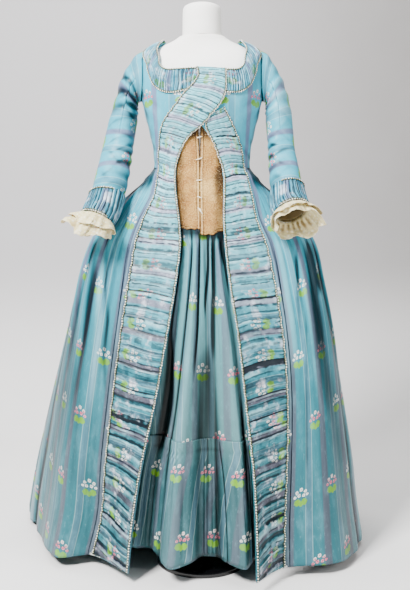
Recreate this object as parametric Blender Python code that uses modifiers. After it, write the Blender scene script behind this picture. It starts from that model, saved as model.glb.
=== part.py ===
"""Robe a la francaise on a limbless dress form: gown, petticoat, linen under-fronts, form and stand.

Metres, +Z up. The front of the gown faces -Y and the wearer's left is at +X. The origin is the centre
of the round foot, on the floor. Every piece of cloth is a grid of points on a smooth surface, worked
out from the tables below and thickened into a wall.
"""

import math

import bmesh
import bpy
from mathutils import Vector

# Walls and the layers that they lie in, measured outwards from the dress form.
WALL = 0.0012
PETTICOAT_OFF = 0.0026
LINEN_OFF = 0.0047
GOWN_OFF = 0.0076
TRIM_GAP = 0.0009
ROBING_GAP = 0.0015
CROSSING_GAP = 0.0036
SEAM = 0.0003

# Heights.
WAIST = 1.035
FORM_BOTTOM = 0.80
FORM_NECK = 1.383
CAP_TOP = 1.476
GOWN_HEM = 0.03
FLOUNCE_TOP = 0.352
FLOUNCE_SEAM = 0.325

# The round stand.
FOOT_RADIUS = 0.118
FOOT_RIM = 0.013
POLE_RADIUS = 0.014

# Counts of gathers.
ROBING_GATHERS = 34
CUFF_GATHERS = 18
COLLAR_GATHERS = 12
RUFFLE_WAVES = 5

# The armhole, an oval on the side of the body.
ARMHOLE_Z = 1.279
ARMHOLE_HALF_ANGLE = 26.0
ARMHOLE_HALF_HEIGHT = 0.060

BODY_COLUMNS = ("z", "half_width", "front", "back")
BODY = (
    (0.800, 0.138, 0.090, 0.102),
    (0.870, 0.146, 0.098, 0.110),
    (0.930, 0.144, 0.098, 0.108),
    (0.980, 0.135, 0.095, 0.102),
    (1.010, 0.126, 0.092, 0.096),
    (1.045, 0.119, 0.090, 0.092),
    (1.090, 0.122, 0.095, 0.094),
    (1.140, 0.133, 0.104, 0.098),
    (1.180, 0.143, 0.110, 0.101),
    (1.220, 0.152, 0.111, 0.103),
    (1.250, 0.159, 0.107, 0.103),
    (1.280, 0.163, 0.099, 0.101),
    (1.308, 0.160, 0.086, 0.096),
    (1.330, 0.151, 0.072, 0.086),
    (1.345, 0.134, 0.061, 0.076),
    (1.358, 0.108, 0.054, 0.066),
    (1.371, 0.080, 0.050, 0.058),
    (1.383, 0.062, 0.050, 0.055),
    (1.400, 0.052, 0.050, 0.051),
)
ROUNDNESS = 2.2

# Knots of half a skirt section, from the robing's inner edge round to the back corner, x as distances
# from the middle: edge, robing, side front, widest point and back corner.
SKIRT_COLUMNS = ("z", "edge_x", "edge_y", "robing_x", "robing_y", "front_x", "front_y",
                 "side_x", "side_y", "corner_x", "corner_y")
SKIRT_LEFT = (
    (1.000, 0.0545, -0.104, 0.117, -0.079, 0.139, -0.046, 0.155, 0.005, 0.135, 0.070),
    (0.960, 0.0538, -0.108, 0.127, -0.085, 0.170, -0.055, 0.203, 0.005, 0.175, 0.090),
    (0.900, 0.0530, -0.113, 0.139, -0.090, 0.208, -0.062, 0.260, 0.005, 0.225, 0.115),
    (0.840, 0.0565, -0.118, 0.163, -0.092, 0.240, -0.068, 0.300, 0.010, 0.260, 0.140),
    (0.750, 0.0660, -0.125, 0.183, -0.093, 0.262, -0.073, 0.321, 0.015, 0.285, 0.170),
    (0.600, 0.0880, -0.140, 0.206, -0.097, 0.288, -0.078, 0.352, 0.025, 0.325, 0.215),
    (0.450, 0.1040, -0.155, 0.216, -0.102, 0.304, -0.081, 0.373, 0.040, 0.360, 0.260),
    (0.280, 0.1220, -0.178, 0.213, -0.110, 0.320, -0.084, 0.398, 0.055, 0.398, 0.305),
    (0.140, 0.1280, -0.198, 0.207, -0.118, 0.335, -0.086, 0.415, 0.070, 0.425, 0.340),
    (0.030, 0.1300, -0.212, 0.205, -0.124, 0.349, -0.085, 0.432, 0.080, 0.445, 0.365),
)
SKIRT_RIGHT = (
    (1.000, 0.0665, -0.102, 0.113, -0.081, 0.139, -0.046, 0.155, 0.005, 0.135, 0.070),
    (0.960, 0.0635, -0.108, 0.121, -0.088, 0.170, -0.055, 0.203, 0.005, 0.175, 0.090),
    (0.900, 0.0560, -0.113, 0.150, -0.090, 0.208, -0.062, 0.260, 0.005, 0.225, 0.120),
    (0.840, 0.0525, -0.117, 0.170, -0.090, 0.240, -0.068, 0.297, 0.010, 0.260, 0.150),
    (0.750, 0.0620, -0.122, 0.186, -0.089, 0.265, -0.072, 0.328, 0.020, 0.300, 0.185),
    (0.600, 0.0865, -0.130, 0.209, -0.084, 0.292, -0.072, 0.362, 0.050, 0.360, 0.235),
    (0.450, 0.1125, -0.138, 0.2285, -0.075, 0.318, -0.066, 0.395, 0.085, 0.410, 0.280),
    (0.280, 0.1490, -0.147, 0.248, -0.062, 0.345, -0.058, 0.430, 0.120, 0.462, 0.330),
    (0.140, 0.1700, -0.153, 0.259, -0.052, 0.362, -0.050, 0.458, 0.155, 0.495, 0.360),
    (0.030, 0.1810, -0.157, 0.284, -0.046, 0.385, -0.045, 0.475, 0.190, 0.518, 0.385),
)
SKIRTS = {1: SKIRT_LEFT, -1: SKIRT_RIGHT}
EDGE_AT_WAIST = {1: 0.0490, -1: 0.0630}
ROBING_AT_WAIST = {1: 0.1000, -1: 0.1035}
KNOT_ANGLES = (80.0, 95.0, 120.0, 150.0, 180.0)

# How deep the back hangs and how far the petticoat's front stands behind the gown's.
DEPTH_COLUMNS = ("z", "back", "petticoat", "inset", "side_inset")
DEPTH = (
    (1.000, 0.175, 0.0958, 0.0070, 0.006),
    (0.960, 0.195, 0.1005, 0.0085, 0.010),
    (0.900, 0.222, 0.1058, 0.0095, 0.014),
    (0.840, 0.250, 0.1110, 0.0110, 0.016),
    (0.750, 0.290, 0.1180, 0.0150, 0.019),
    (0.600, 0.360, 0.1270, 0.0240, 0.023),
    (0.450, 0.430, 0.1350, 0.0350, 0.027),
    (0.280, 0.510, 0.1460, 0.0550, 0.030),
    (0.140, 0.570, 0.1540, 0.0680, 0.032),
    (0.030, 0.620, 0.1600, 0.0760, 0.034),
)
SACK_COLUMNS = ("z", "fall")
SACK = ((1.00, 0.085), (1.035, 0.073), (1.12, 0.040), (1.20, 0.015), (1.28, 0.002), (1.37, 0.0))

# The front panel above the waist: its inner edge and the neckline as x (towards its own side) and z,
# the shoulder and the side seam as an angle from the centre front and z.
RIGHT_OPENING = ((0.0630, 1.038), (0.0566, 1.062), (0.0440, 1.093), (0.0250, 1.1195), (0.0018, 1.1376),
                 (-0.0100, 1.170), (-0.0180, 1.205), (-0.0210, 1.240), (-0.0220, 1.281))
LEFT_OPENING = ((0.0490, 1.038), (0.0397, 1.062), (0.0277, 1.096), (0.0130, 1.1205), (-0.0008, 1.1376),
                (0.0110, 1.170), (0.0190, 1.205), (0.0220, 1.240), (0.0230, 1.281))
NECKLINE = ((0.058, 1.279), (0.088, 1.280), (0.1035, 1.296), (0.1075, 1.322))
SHOULDER_NECK = (58.0, 1.354), (89.7, 1.3655)
SIDE_SEAM = ((80, 1.038), (80, 1.055), (80, 1.082), (80, 1.11), (80, 1.138), (80, 1.165), (80, 1.19),
             (80, 1.212), (76, 1.2275), (69, 1.244), (65.2, 1.262), (64, 1.280), (66, 1.301),
             (74, 1.3250), (89.7, 1.3385))

# Each robing above the waist, from bottom to top, x towards its own side.
ROBING_STEP = 0.030
ROBING_RIGHT = (
    # outer edge x, z, inner edge x, z
    (0.1030, 1.0380, 0.0620, 1.0350),
    (0.1040, 1.0656, 0.0556, 1.0620),
    (0.1020, 1.1010, 0.0430, 1.0930),
    (0.1000, 1.1310, 0.0240, 1.1195),
    (0.0890, 1.1580, 0.0008, 1.1376),
    (0.0659, 1.1890, -0.0214, 1.1640),
    (0.0453, 1.2170, -0.0430, 1.1900),
    (0.0250, 1.2370, -0.0565, 1.2195),
    (0.0110, 1.2600, -0.0590, 1.2500),
    (0.0140, 1.2820, -0.0586, 1.2790),
)
ROBING_LEFT = (
    (0.1000, 1.0380, 0.0480, 1.0350),
    (0.0975, 1.0600, 0.0390, 1.0600),
    (0.0925, 1.0940, 0.0270, 1.0960),
    (0.0780, 1.1350, 0.0130, 1.1220),
    (0.0640, 1.1650, 0.0080, 1.1440),
    (0.0545, 1.1850, 0.0150, 1.1650),
)

SLEEVE_COLUMNS = ("out_x", "out_z", "in_x", "in_z", "y", "half_depth")
SLEEVE_RIGHT = (
    (0.1885, 1.3180, 0.1680, 1.2110, -0.002, 0.047),
    (0.2130, 1.2790, 0.1690, 1.2000, -0.004, 0.046),
    (0.2280, 1.2240, 0.1695, 1.1870, -0.006, 0.044),
    (0.2440, 1.1640, 0.1705, 1.1580, -0.008, 0.043),
    (0.2544, 1.1160, 0.1770, 1.1080, -0.012, 0.042),
    (0.2650, 1.0610, 0.1840, 1.0530, -0.026, 0.042),
    (0.2790, 0.9880, 0.1930, 0.9840, -0.064, 0.040),
    (0.2910, 0.9390, 0.2110, 0.9230, -0.092, 0.040),
    (0.3010, 0.9150, 0.2260, 0.8860, -0.108, 0.040),
)
SLEEVE_LEFT = (
    (0.1830, 1.3240, 0.1675, 1.2115, -0.002, 0.047),
    (0.2058, 1.2880, 0.1680, 1.2010, -0.004, 0.046),
    (0.2240, 1.2400, 0.1680, 1.1870, -0.006, 0.044),
    (0.2350, 1.1850, 0.1680, 1.1600, -0.008, 0.042),
    (0.2390, 1.1330, 0.1700, 1.1180, -0.010, 0.041),
    (0.2430, 1.0790, 0.1735, 1.0650, -0.022, 0.041),
    (0.2543, 1.0100, 0.1750, 0.9960, -0.058, 0.040),
    (0.2600, 0.9540, 0.1790, 0.9330, -0.100, 0.040),
    (0.2660, 0.9320, 0.1830, 0.9080, -0.120, 0.040),
)
SLEEVES = {1: SLEEVE_LEFT, -1: SLEEVE_RIGHT}
SIDE_NAMES = {1: "left", -1: "right"}


def look_up(rows, columns, name, at):
    """A smooth value of one named column, by the first column, with flat ends."""
    col = columns.index(name)
    ordered = sorted(rows)
    keys = [row[0] for row in ordered]
    values = [row[col] for row in ordered]
    if at <= keys[0]:
        return values[0]
    if at >= keys[-1]:
        return values[-1]
    return hermite(keys, values, at)


def slope(keys, values, i):
    lo = max(i - 1, 0)
    hi = min(i + 1, len(keys) - 1)
    return (values[hi] - values[lo]) / (keys[hi] - keys[lo])


def hermite(keys, values, at):
    """Cubic through the values, with the slope at a key taken from its neighbours."""
    i = max(k for k in range(len(keys) - 1) if keys[k] <= at)
    span = keys[i + 1] - keys[i]
    f = (at - keys[i]) / span
    m0 = slope(keys, values, i) * span
    m1 = slope(keys, values, i + 1) * span
    step = f * f * (3 - 2 * f)
    rise = values[i] + (values[i + 1] - values[i]) * step
    return rise + m0 * f * (1 - f) ** 2 - m1 * f * f * (1 - f)


def ease(f):
    f = min(max(f, 0.0), 1.0)
    return f * f * (3 - 2 * f)


def mix(a, b, f):
    return a + (b - a) * f


def signed_power(value, power):
    return math.copysign(abs(value) ** power, value)


def torso_skin(u, z):
    """Point of the dress form's skin at an angle from the centre front (degrees) and a height."""
    s = math.sin(math.radians(u))
    c = math.cos(math.radians(u))
    half = look_up(BODY, BODY_COLUMNS, "half_width", z)
    depth = look_up(BODY, BODY_COLUMNS, "front" if c > 0 else "back", z)
    power = 2 / ROUNDNESS
    return Vector((half * signed_power(s, power), -depth * signed_power(c, power), z))


def torso(u, z, off=0.0):
    """Point lying off the form's skin by off, square to it."""
    here = torso_skin(u, z)
    if off == 0.0:
        return here
    across = torso_skin(u + 1.5, z) - torso_skin(u - 1.5, z)
    up = torso_skin(u, z + 0.003) - torso_skin(u, z - 0.003)
    return here + across.cross(up).normalized() * off


def angle_at(x, z):
    """Angle from the centre front of the point of the skin at x."""
    half = look_up(BODY, BODY_COLUMNS, "half_width", z)
    s = signed_power(min(abs(x) / half, 1.0), ROUNDNESS / 2)
    return math.degrees(math.asin(s)) * (1 if x > 0 else -1)


def mirror(side, p):
    """The point on its own side, from the wearer's left."""
    return Vector((side * p.x, p.y, p.z))


def sack_fall(u, z):
    """How far the free back hangs behind the body."""
    return look_up(SACK, SACK_COLUMNS, "fall", z) * ease((u - 129) / 28)


def back_body(side, u, z, off=0.0):
    point = torso(u, z, off)
    point.y += sack_fall(u, z)
    return mirror(side, point)


def skirt_knots(side, z):
    """Knots (x, y) of the gown's half section below the waist, from t = 0 at the front edge to t = 6."""
    row = {name: look_up(SKIRTS[side], SKIRT_COLUMNS, name, z) for name in SKIRT_COLUMNS[1:]}
    knots = [(row[a + "_x"], row[a + "_y"]) for a in ("edge", "robing", "front", "side", "corner")]
    back = look_up(DEPTH, DEPTH_COLUMNS, "back", z)
    corner = knots[-1]
    knots.append((corner[0] * 0.55, mix(corner[1], back, 0.76)))
    knots.append((0.0, back))
    return knots


def waist_angle(side, t, z):
    """Angle on the body of the station t, from 0 at the front edge (-1 at the middle) to 6 behind."""
    if t < 0:
        return angle_at(EDGE_AT_WAIST[side] * (t + 1), z) if t > -1 else 0.0
    if t < 1:
        return angle_at(mix(EDGE_AT_WAIST[side], ROBING_AT_WAIST[side], t), z)
    angles = (angle_at(ROBING_AT_WAIST[side], z),) + KNOT_ANGLES
    i = min(int(t) - 1, len(angles) - 2)
    return mix(angles[i], angles[i + 1], t - 1 - i)


def meet_waist(side, t, z, low, off, behind):
    """Blend a skirt's point into the body's skin from z = 1.0 up to the waist."""
    u = waist_angle(side, t, min(z, WAIST))
    high = torso(u, z, off)
    if behind:
        high.y += sack_fall(u, z)
    high.x *= side
    return low.lerp(high, ease((z - 1.0) / (WAIST - 1.0)))


def along(knots, t, first):
    """Catmull-Rom point of a chain of knots, numbered from first, square to the middle at its ends."""
    start = (2 * knots[0][0] - knots[1][0], 2 * knots[0][1] - knots[1][1])
    if first < 0:
        start = (-knots[1][0], knots[1][1])
    chain = [start] + list(knots)
    chain.append((-knots[-2][0], knots[-2][1]))
    place = min(max(t - first, 0.0), len(knots) - 1.0001)
    i = int(place)
    f = place - i
    result = []
    for axis in (0, 1):
        p0, p1, p2, p3 = (chain[i + k][axis] for k in range(4))
        m1 = (p2 - p0) / 2
        m2 = (p3 - p1) / 2
        result.append(p1 + (p2 - p1) * ease(f) + m1 * f * (1 - f) ** 2 - m2 * f * f * (1 - f))
    return result


def section_point(knots, side, t, z, first, off):
    here = along(knots, t, first)
    if off != 0.0:
        a = along(knots, t - 0.03, first)
        b = along(knots, t + 0.03, first)
        run = math.hypot(b[0] - a[0], b[1] - a[1])
        here = (here[0] + off * (b[1] - a[1]) / run, here[1] - off * (b[0] - a[0]) / run)
    return Vector((side * here[0], here[1], z))


def gown_skirt(side, t, z, off=0.0):
    """Outer face of the gown below the waist, moved out by off."""
    low = section_point(skirt_knots(side, min(z, 1.0)), side, t, z, 0, off)
    if z > 1.0:
        return meet_waist(side, t, z, low, GOWN_OFF + off, True)
    return low


def petticoat_knots(side, z):
    """Knots of the petticoat's half section, from t = -1 at the centre front to t = 6 at the back."""
    gown = skirt_knots(side, z)
    inset = look_up(DEPTH, DEPTH_COLUMNS, "inset", z)
    gap = look_up(DEPTH, DEPTH_COLUMNS, "side_inset", z)
    front = look_up(DEPTH, DEPTH_COLUMNS, "petticoat", z)
    knots = [(0.0, -front), (gown[0][0] * 0.94, max(gown[0][1] + inset, -front * 0.97))]
    knots.append((gown[1][0] - gap * 0.8, gown[1][1] + gap * 1.1))
    knots.append((gown[2][0] - gap * 0.7, gown[2][1] + gap * 1.2))
    knots.append((gown[3][0] - gap, gown[3][1]))
    knots.append((gown[4][0] - gap, gown[4][1] - gap * 1.3))
    knots.append((gown[5][0] - gap, gown[5][1] - gap * 2.2))
    knots.append((0.0, gown[6][1] - gap * 2.6))
    return knots


def petticoat_base(side, t, z, off=0.0):
    """Outer face of the petticoat without its folds."""
    low = section_point(petticoat_knots(side, min(z, 1.0)), side, t, z, -1, off)
    if z > 1.0:
        return meet_waist(side, t, z, low, PETTICOAT_OFF + off, False)
    return low


def facet(point, stations, levels, s, z, off):
    """Point on the flat facets that a grid of stations and levels makes, moved out by off."""
    i = max(k for k in range(len(stations) - 1) if stations[k] <= s + 1e-9)
    j = max(k for k in range(len(levels) - 1) if levels[k] <= z + 1e-9)
    f = (s - stations[i]) / (stations[i + 1] - stations[i])
    g = (z - levels[j]) / (levels[j + 1] - levels[j])
    a, b, c, d = (point(stations[m], levels[n]) for n in (j, j + 1) for m in (i, i + 1))
    here = a.lerp(b, f).lerp(c.lerp(d, f), g)
    out = (b - a).lerp(d - c, g).cross((c - a).lerp(d - b, f)).normalized()
    return here + out * off


# ---------------------------------------------------------------- building

def material(name, colour, roughness, metallic=0.0):
    made = bpy.data.materials.new(name)
    made.use_nodes = True
    shader = made.node_tree.nodes["Principled BSDF"]
    shader.inputs["Base Color"].default_value = (*colour, 1.0)
    shader.inputs["Roughness"].default_value = roughness
    shader.inputs["Metallic"].default_value = metallic
    return made


def new_object(name, mesh, look):
    made = bpy.data.objects.new(name, mesh)
    PARTS.objects.link(made)
    mesh.materials.append(look)
    return made


def grid_mesh(name, grid, closed):
    """Mesh over rows of points, the last column joined to the first where closed."""
    columns = len(grid[0])
    shape = bmesh.new()
    verts = [[shape.verts.new(p) for p in row] for row in grid]
    for low, high in zip(verts, verts[1:]):
        for c in range(columns if closed else columns - 1):
            d = (c + 1) % columns
            shape.faces.new((low[c], low[d], high[d], high[c]))
    mesh = bpy.data.meshes.new(name)
    shape.to_mesh(mesh)
    shape.free()
    return mesh


def cloth(name, grid, look, outward=False, closed=False, mirrored=False):
    """A wall of cloth: rows run upwards and columns run counterclockwise seen from above."""
    if mirrored:
        grid = [list(reversed(row)) for row in grid]
    made = new_object(name, grid_mesh(name, grid, closed), look)
    wall = made.modifiers.new("Wall", "SOLIDIFY")
    wall.thickness = WALL
    wall.offset = 1.0 if outward else -1.0
    return made


def drop_objects():
    for old in list(bpy.data.objects):
        bpy.data.objects.remove(old, do_unlink=True)


# ---------------------------------------------------------------- gown

def front_boundary(side):
    """Inner and outer ends of the front's rows above the waist, as angles and heights."""
    opening = RIGHT_OPENING if side < 0 else LEFT_OPENING
    inner = [(angle_at(x, z), z) for x, z in opening]
    inner += [(angle_at(x, z), z) for x, z in NECKLINE]
    inner += list(SHOULDER_NECK)
    return list(zip(inner, SIDE_SEAM))


def front_body_rows(side, columns):
    rows = []
    for (u0, z0), (u1, z1) in front_boundary(side):
        row = []
        for c in range(columns):
            f = c / (columns - 1)
            row.append(mirror(side, torso(mix(u0, u1, f), mix(z0, z1, f), GOWN_OFF)))
        rows.append(row)
    return rows


LEVELS = (0.030, 0.16, 0.32, 0.48, 0.62, 0.74, 0.83, 0.90, 0.95, 0.985, 1.010, 1.031)
FRONT_STATIONS = (0.0, 0.25, 0.5, 0.75, 1.0)


def front_outer(z):
    """Station of the front's outer edge below the waist."""
    return mix(1.13, 1.22, ease((z - 0.6) / 0.4))


def front_panel(side):
    rows = []
    for z in LEVELS:
        stations = list(FRONT_STATIONS) + [mix(1.0, front_outer(z), 0.5), front_outer(z)]
        rows.append([gown_skirt(side, t, z) for t in stations])
    rows += front_body_rows(side, 7)
    cloth("front_" + SIDE_NAMES[side], rows, SILK, mirrored=side < 0)


def bodice_side(side):
    """Fitted piece under the arm, from the side seam to the pleated back."""
    rows = []
    steps = 7
    angles = [80.35, 90, 100, 108, 114.7, 128.6]
    for r in range(steps):
        row = []
        for u in angles:
            low = max(1 - ((u - 90) / ARMHOLE_HALF_ANGLE) ** 2, 0.0)
            top = min(ARMHOLE_Z - ARMHOLE_HALF_HEIGHT * math.sqrt(low) - 0.001, 1.2455)
            z = mix(SIDE_WAIST + 0.0007, top, r / (steps - 1))
            row.append(mirror(side, torso(u, z, GOWN_OFF)))
        rows.append(row)
    cloth("bodice_side_" + SIDE_NAMES[side], rows, SILK, mirrored=side < 0)


SIDE_COLUMNS = 18
BACK_HEM = 0.006
BACK_SEAM = 4.30
SIDE_FOLDS = 6.4


def fold_depth(z):
    """Depth of the soft vertical folds, shallow at the waist and deep at the hem."""
    return mix(0.013, 0.0018, ease((z - 0.25) / 0.70)) * ease((WAIST - 0.004 - z) / 0.05)


SIDE_WAIST = 1.0361


def waist_rise(t, z):
    """The side's top edge rises from the front panel's corner to the seam under the bodice side."""
    if z < LEVELS[-1]:
        return z
    return mix(z - 0.0005, SIDE_WAIST, min(max((t - 1.22) / 0.78, 0.0), 1.0))


def hem_drop(t, z):
    """The hem sinks to the floor from the front edge to the back."""
    return z - (GOWN_HEM - BACK_HEM) * ease((t - 1.5) / 2.8) if z <= GOWN_HEM else z


def side_fold(f, z, side):
    """Fold at f across the skirt's side, from 0 at its front edge to 1 at the back."""
    sway = 0.22 * math.sin(5 * z + side)
    wave = math.sin(2 * math.pi * (SIDE_FOLDS * f + sway)) + 0.35 * math.sin(2 * math.pi * (11 * f + 0.4))
    return fold_depth(z) * wave * ease(f * 7) * ease((1 - f) * 7)


def skirt_side(side):
    rows = []
    for z in LEVELS:
        start = front_outer(z) + 0.006
        row = []
        for c in range(SIDE_COLUMNS):
            f = c / (SIDE_COLUMNS - 1)
            t = mix(start, BACK_SEAM - 0.008, f)
            row.append(gown_skirt(side, t, waist_rise(t, hem_drop(t, z)), side_fold(f, z, side)))
        rows.append(row)
    cloth("skirt_side_" + SIDE_NAMES[side], rows, SILK, mirrored=side < 0)


BACK_HALF = 10
BACK_PLEATS = (0, 0.1, 0.7, 0.9, -0.5, 0.9, 0.9, -0.5, 0.8, 0.8, 0.3)
BACK_BODY_COLUMNS = ("outer_u", "outer_z", "middle_u", "middle_z", "centre_z")
BACK_BODY = (
    (129.0, 1.0345, 144, 1.0355, 1.037),
    (129.0, 1.110, 143, 1.110, 1.110),
    (129.0, 1.180, 141, 1.180, 1.180),
    (129.0, 1.246, 138, 1.240, 1.235),
    (115.0, 1.2485, 136, 1.262, 1.268),
    (116.0, 1.279, 133, 1.293, 1.300),
    (113.5, 1.303, 124, 1.318, 1.325),
    (106.0, 1.3245, 112, 1.342, 1.338),
    (90.3, 1.3385, 90.3, 1.3655, 1.349),
)


def pleat_depth(z):
    return mix(0.030, 0.0035, ease((z - 0.35) / 0.95))


def back_column(side, c, level, body_row):
    """Point of the back in column c of a half, from the seam at 0 to the centre at BACK_HALF."""
    out = BACK_PLEATS[c]
    if body_row is None:
        t = mix(BACK_SEAM, 6.0, c / BACK_HALF)
        return gown_skirt(side, t, hem_drop(t, level), out * pleat_depth(level))
    outer_u, outer_z, middle_u, middle_z, centre_z = body_row
    if c <= 3:
        u = mix(outer_u, middle_u, c / 3)
        z = mix(outer_z, middle_z, c / 3)
    else:
        u = mix(middle_u, 180, (c - 3) / (BACK_HALF - 3))
        z = mix(middle_z, centre_z, (c - 3) / (BACK_HALF - 3))
    return back_body(side, u, z, GOWN_OFF + out * pleat_depth(z) * ease((u - 127) / 14))


def back_panel():
    rows = []
    for level, body_row in [(z, None) for z in LEVELS] + [(row[1], row) for row in BACK_BODY]:
        left = [back_column(1, c, level, body_row) for c in range(BACK_HALF + 1)]
        right = [back_column(-1, c, level, body_row) for c in range(BACK_HALF)]
        rows.append(left + list(reversed(right)))
    cloth("back", rows, SILK)


# ---------------------------------------------------------------- trims that lie on the gown

def gather(f, count, across):
    """Height of a gathered band: puffs between the held edges and the held middle."""
    ridge = 1 if round(f * 2 * count) % 2 else 0
    held = math.sin(2 * math.pi * across) ** 2
    return (0.0012 + 0.0036 * ridge) * held + 0.0008 * ridge * (1 - held)


ROBING_ACROSS = (0.0, 0.25, 0.5, 0.75, 1.0)


def robing_point(side, place, across, lift):
    """Point of a robing at place from 0 (hem) to 1 (waist), then on along the rows above it."""
    if place <= 1.0:
        z = mix(GOWN_HEM + 0.004, LEVELS[-1], place)
        return mirror(side, facet(lambda t, level: mirror(side, gown_skirt(side, t, level)),
                                  FRONT_STATIONS, LEVELS, across, z, ROBING_GAP + lift))
    table = ROBING_RIGHT if side < 0 else ROBING_LEFT
    keys = list(range(len(table)))
    at = min((place - 1.0), len(table) - 1.0001)
    outer_x, outer_z, inner_x, inner_z = (
        hermite(keys, [row[k] for row in table], at) for k in range(4)
    )
    u = mix(angle_at(inner_x, inner_z), angle_at(outer_x, outer_z), across)
    z = mix(inner_z, outer_z, across)
    gap = TRIM_GAP
    if side < 0:
        gap = mix(TRIM_GAP, CROSSING_GAP, ease(at - 3.0))
    return mirror(side, torso(u, z, GOWN_OFF + gap + lift))


def robing(side):
    """Gathered band down a front edge; the right one goes on over the chest to the neck."""
    table = ROBING_RIGHT if side < 0 else ROBING_LEFT
    length_below = WAIST / 0.97
    length_above = ROBING_STEP * (len(table) - 1)
    count = round(ROBING_GATHERS * (length_below + length_above) / 1.3)
    rows = []
    for r in range(2 * count + 1):
        f = r / (2 * count)
        run = f * (length_below + length_above)
        place = run / length_below
        if place >= 1:
            place = 1.0001 + (run - length_below) / ROBING_STEP
        flat = 1.0
        if side > 0:
            flat = ease((1 - f) * 22)
        rows.append([robing_point(side, place, a, flat * gather(f, count, a)) for a in ROBING_ACROSS])
    cloth("robing_" + SIDE_NAMES[side], rows, SILK_TRIM, outward=True, mirrored=side < 0)


COLLAR_START = {1: 0.050, -1: 0.004}
COLLAR_FRONT = (
    # inner x, inner z, outer x, outer z
    (0.060, 1.2790, 0.065, 1.2200),
    (0.088, 1.2810, 0.095, 1.2245),
    (0.1035, 1.2965, 0.118, 1.2440),
    (0.1075, 1.3220, 0.130, 1.2720),
)
COLLAR_OVER = (
    # inner angle and height, outer angle and height
    (58.0, 1.3535, 58.5, 1.3060),
    (88.0, 1.3645, 88.0, 1.3480),
    (108.0, 1.3580, 102.0, 1.3370),
    (121.0, 1.3530, 116.0, 1.3210),
)


def collar(side):
    """Gathered band round the neckline, over the shoulder to the back pleats."""
    start = COLLAR_START[side]
    if side > 0:
        first = (start, 1.2795, start, 1.2215)
    else:
        first = (start, 1.2810, start + 0.012, 1.2290)
    ends = [first] + list(COLLAR_FRONT)
    table = [(angle_at(a, b), b, angle_at(c, d), d) for a, b, c, d in ends] + list(COLLAR_OVER)
    keys = list(range(len(table)))
    columns = 2 * COLLAR_GATHERS
    rows = []
    for across in (1.0, 0.6, 0.3, 0.0):
        row = []
        for c in range(columns + 1):
            f = c / columns
            at = min(f * (len(table) - 1), len(table) - 1.0001)
            iu, iz, ou, oz = (hermite(keys, [line[k] for line in table], at) for k in range(4))
            ridge = 0.0036 * (c % 2) + 0.0008
            held = math.sin(math.pi * across) ** 2 if 0 < across < 1 else 0.12
            flat = ease((c - 1.5) / 2) * ease((columns - c) / 2)
            z = mix(iz, oz, across)
            lift = mix(TRIM_GAP, 0.0020, ease(at - 3.5)) + ridge * held * flat
            row.append(mirror(side, torso(mix(iu, ou, across), z, GOWN_OFF + lift)))
        rows.append(row)
    cloth("collar_" + SIDE_NAMES[side], rows, SILK_TRIM, outward=True, mirrored=side < 0)


# ---------------------------------------------------------------- sleeves

SLEEVE_AROUND = 12
SLEEVE_END = 7.6


def armhole_point(side, angle, scale, off):
    """Point of the armhole's oval, scaled about its middle, angle 0 at the front."""
    u = 90 - ARMHOLE_HALF_ANGLE * scale * math.cos(angle)
    z = ARMHOLE_Z + ARMHOLE_HALF_HEIGHT * scale * math.sin(angle)
    return mirror(side, torso(u, z, GOWN_OFF + off))


def sleeve_axes(side, place):
    """Centre, half axis from the body outwards and half axis forwards of a sleeve's ring."""
    table = SLEEVES[side]
    keys = list(range(len(table)))
    at = min(max(place, 0.0), len(table) - 1.0001)
    names = {n: hermite(keys, [row[k] for row in table], at) for k, n in enumerate(SLEEVE_COLUMNS)}
    outer = Vector((side * names["out_x"], names["y"], names["out_z"]))
    inner = Vector((side * names["in_x"], names["y"], names["in_z"]))
    return (outer + inner) / 2, (outer - inner) / 2, names["half_depth"]


def ring_point(side, place, angle, rise=0.0, shift=0.0):
    """Point of a ring square to the sleeve, angle 0 at the front and a quarter turn at the outer side."""
    centre, out, depth = sleeve_axes(side, place)
    path = (sleeve_axes(side, place + 0.4)[0] - sleeve_axes(side, place - 0.4)[0]).normalized()
    forward = path.cross(out).normalized()
    if forward.y > 0:
        forward = -forward
    spoke = forward * (depth + rise) * math.cos(angle)
    spoke += out * (1 + rise / out.length) * math.sin(angle)
    return centre + spoke + path * shift


def sleeve_ring(side, place, around):
    return [ring_point(side, place, 2 * math.pi * k / around) for k in range(around)]


def sleeve(side):
    rows = [[armhole_point(side, 2 * math.pi * k / SLEEVE_AROUND, 1.03, 0.0020 + WALL)
             for k in range(SLEEVE_AROUND)]]
    first = sleeve_ring(side, 0, SLEEVE_AROUND)
    near = []
    for k, (a, b) in enumerate(zip(rows[0], first)):
        top = max(math.sin(2 * math.pi * k / SLEEVE_AROUND), 0.0)
        near.append(a.lerp(b, 0.5) + Vector((side * 0.006 * top, 0, 0.004 * top)))
    rows.append(near)
    places = (0, 1, 2, 3, 4, 5, 5.5, 6, 6.5, 7, SLEEVE_END)
    rows += [sleeve_ring(side, p, SLEEVE_AROUND) for p in places]
    cloth("sleeve_" + SIDE_NAMES[side], rows, SILK, closed=True, mirrored=side > 0)


CUFF_GAP = 0.0011


def cuff(side):
    """Band gathered lengthwise round the sleeve's end, held at its edges."""
    around = 2 * CUFF_GATHERS
    rows = []
    for place, ridge in ((6.35, 0.0012), (6.9, 0.0034), (7.45, 0.0034), (8.0, 0.0012)):
        rows.append([ring_point(side, place, 2 * math.pi * k / around, CUFF_GAP + ridge * (k % 2))
                     for k in range(around)])
    cloth("cuff_" + SIDE_NAMES[side], rows, SILK_TRIM, outward=True, closed=True, mirrored=side > 0)


RUFFLE_AROUND = 20
RUFFLE_SPLIT = 0.52
RUFFLE_START = 0.0012
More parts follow.
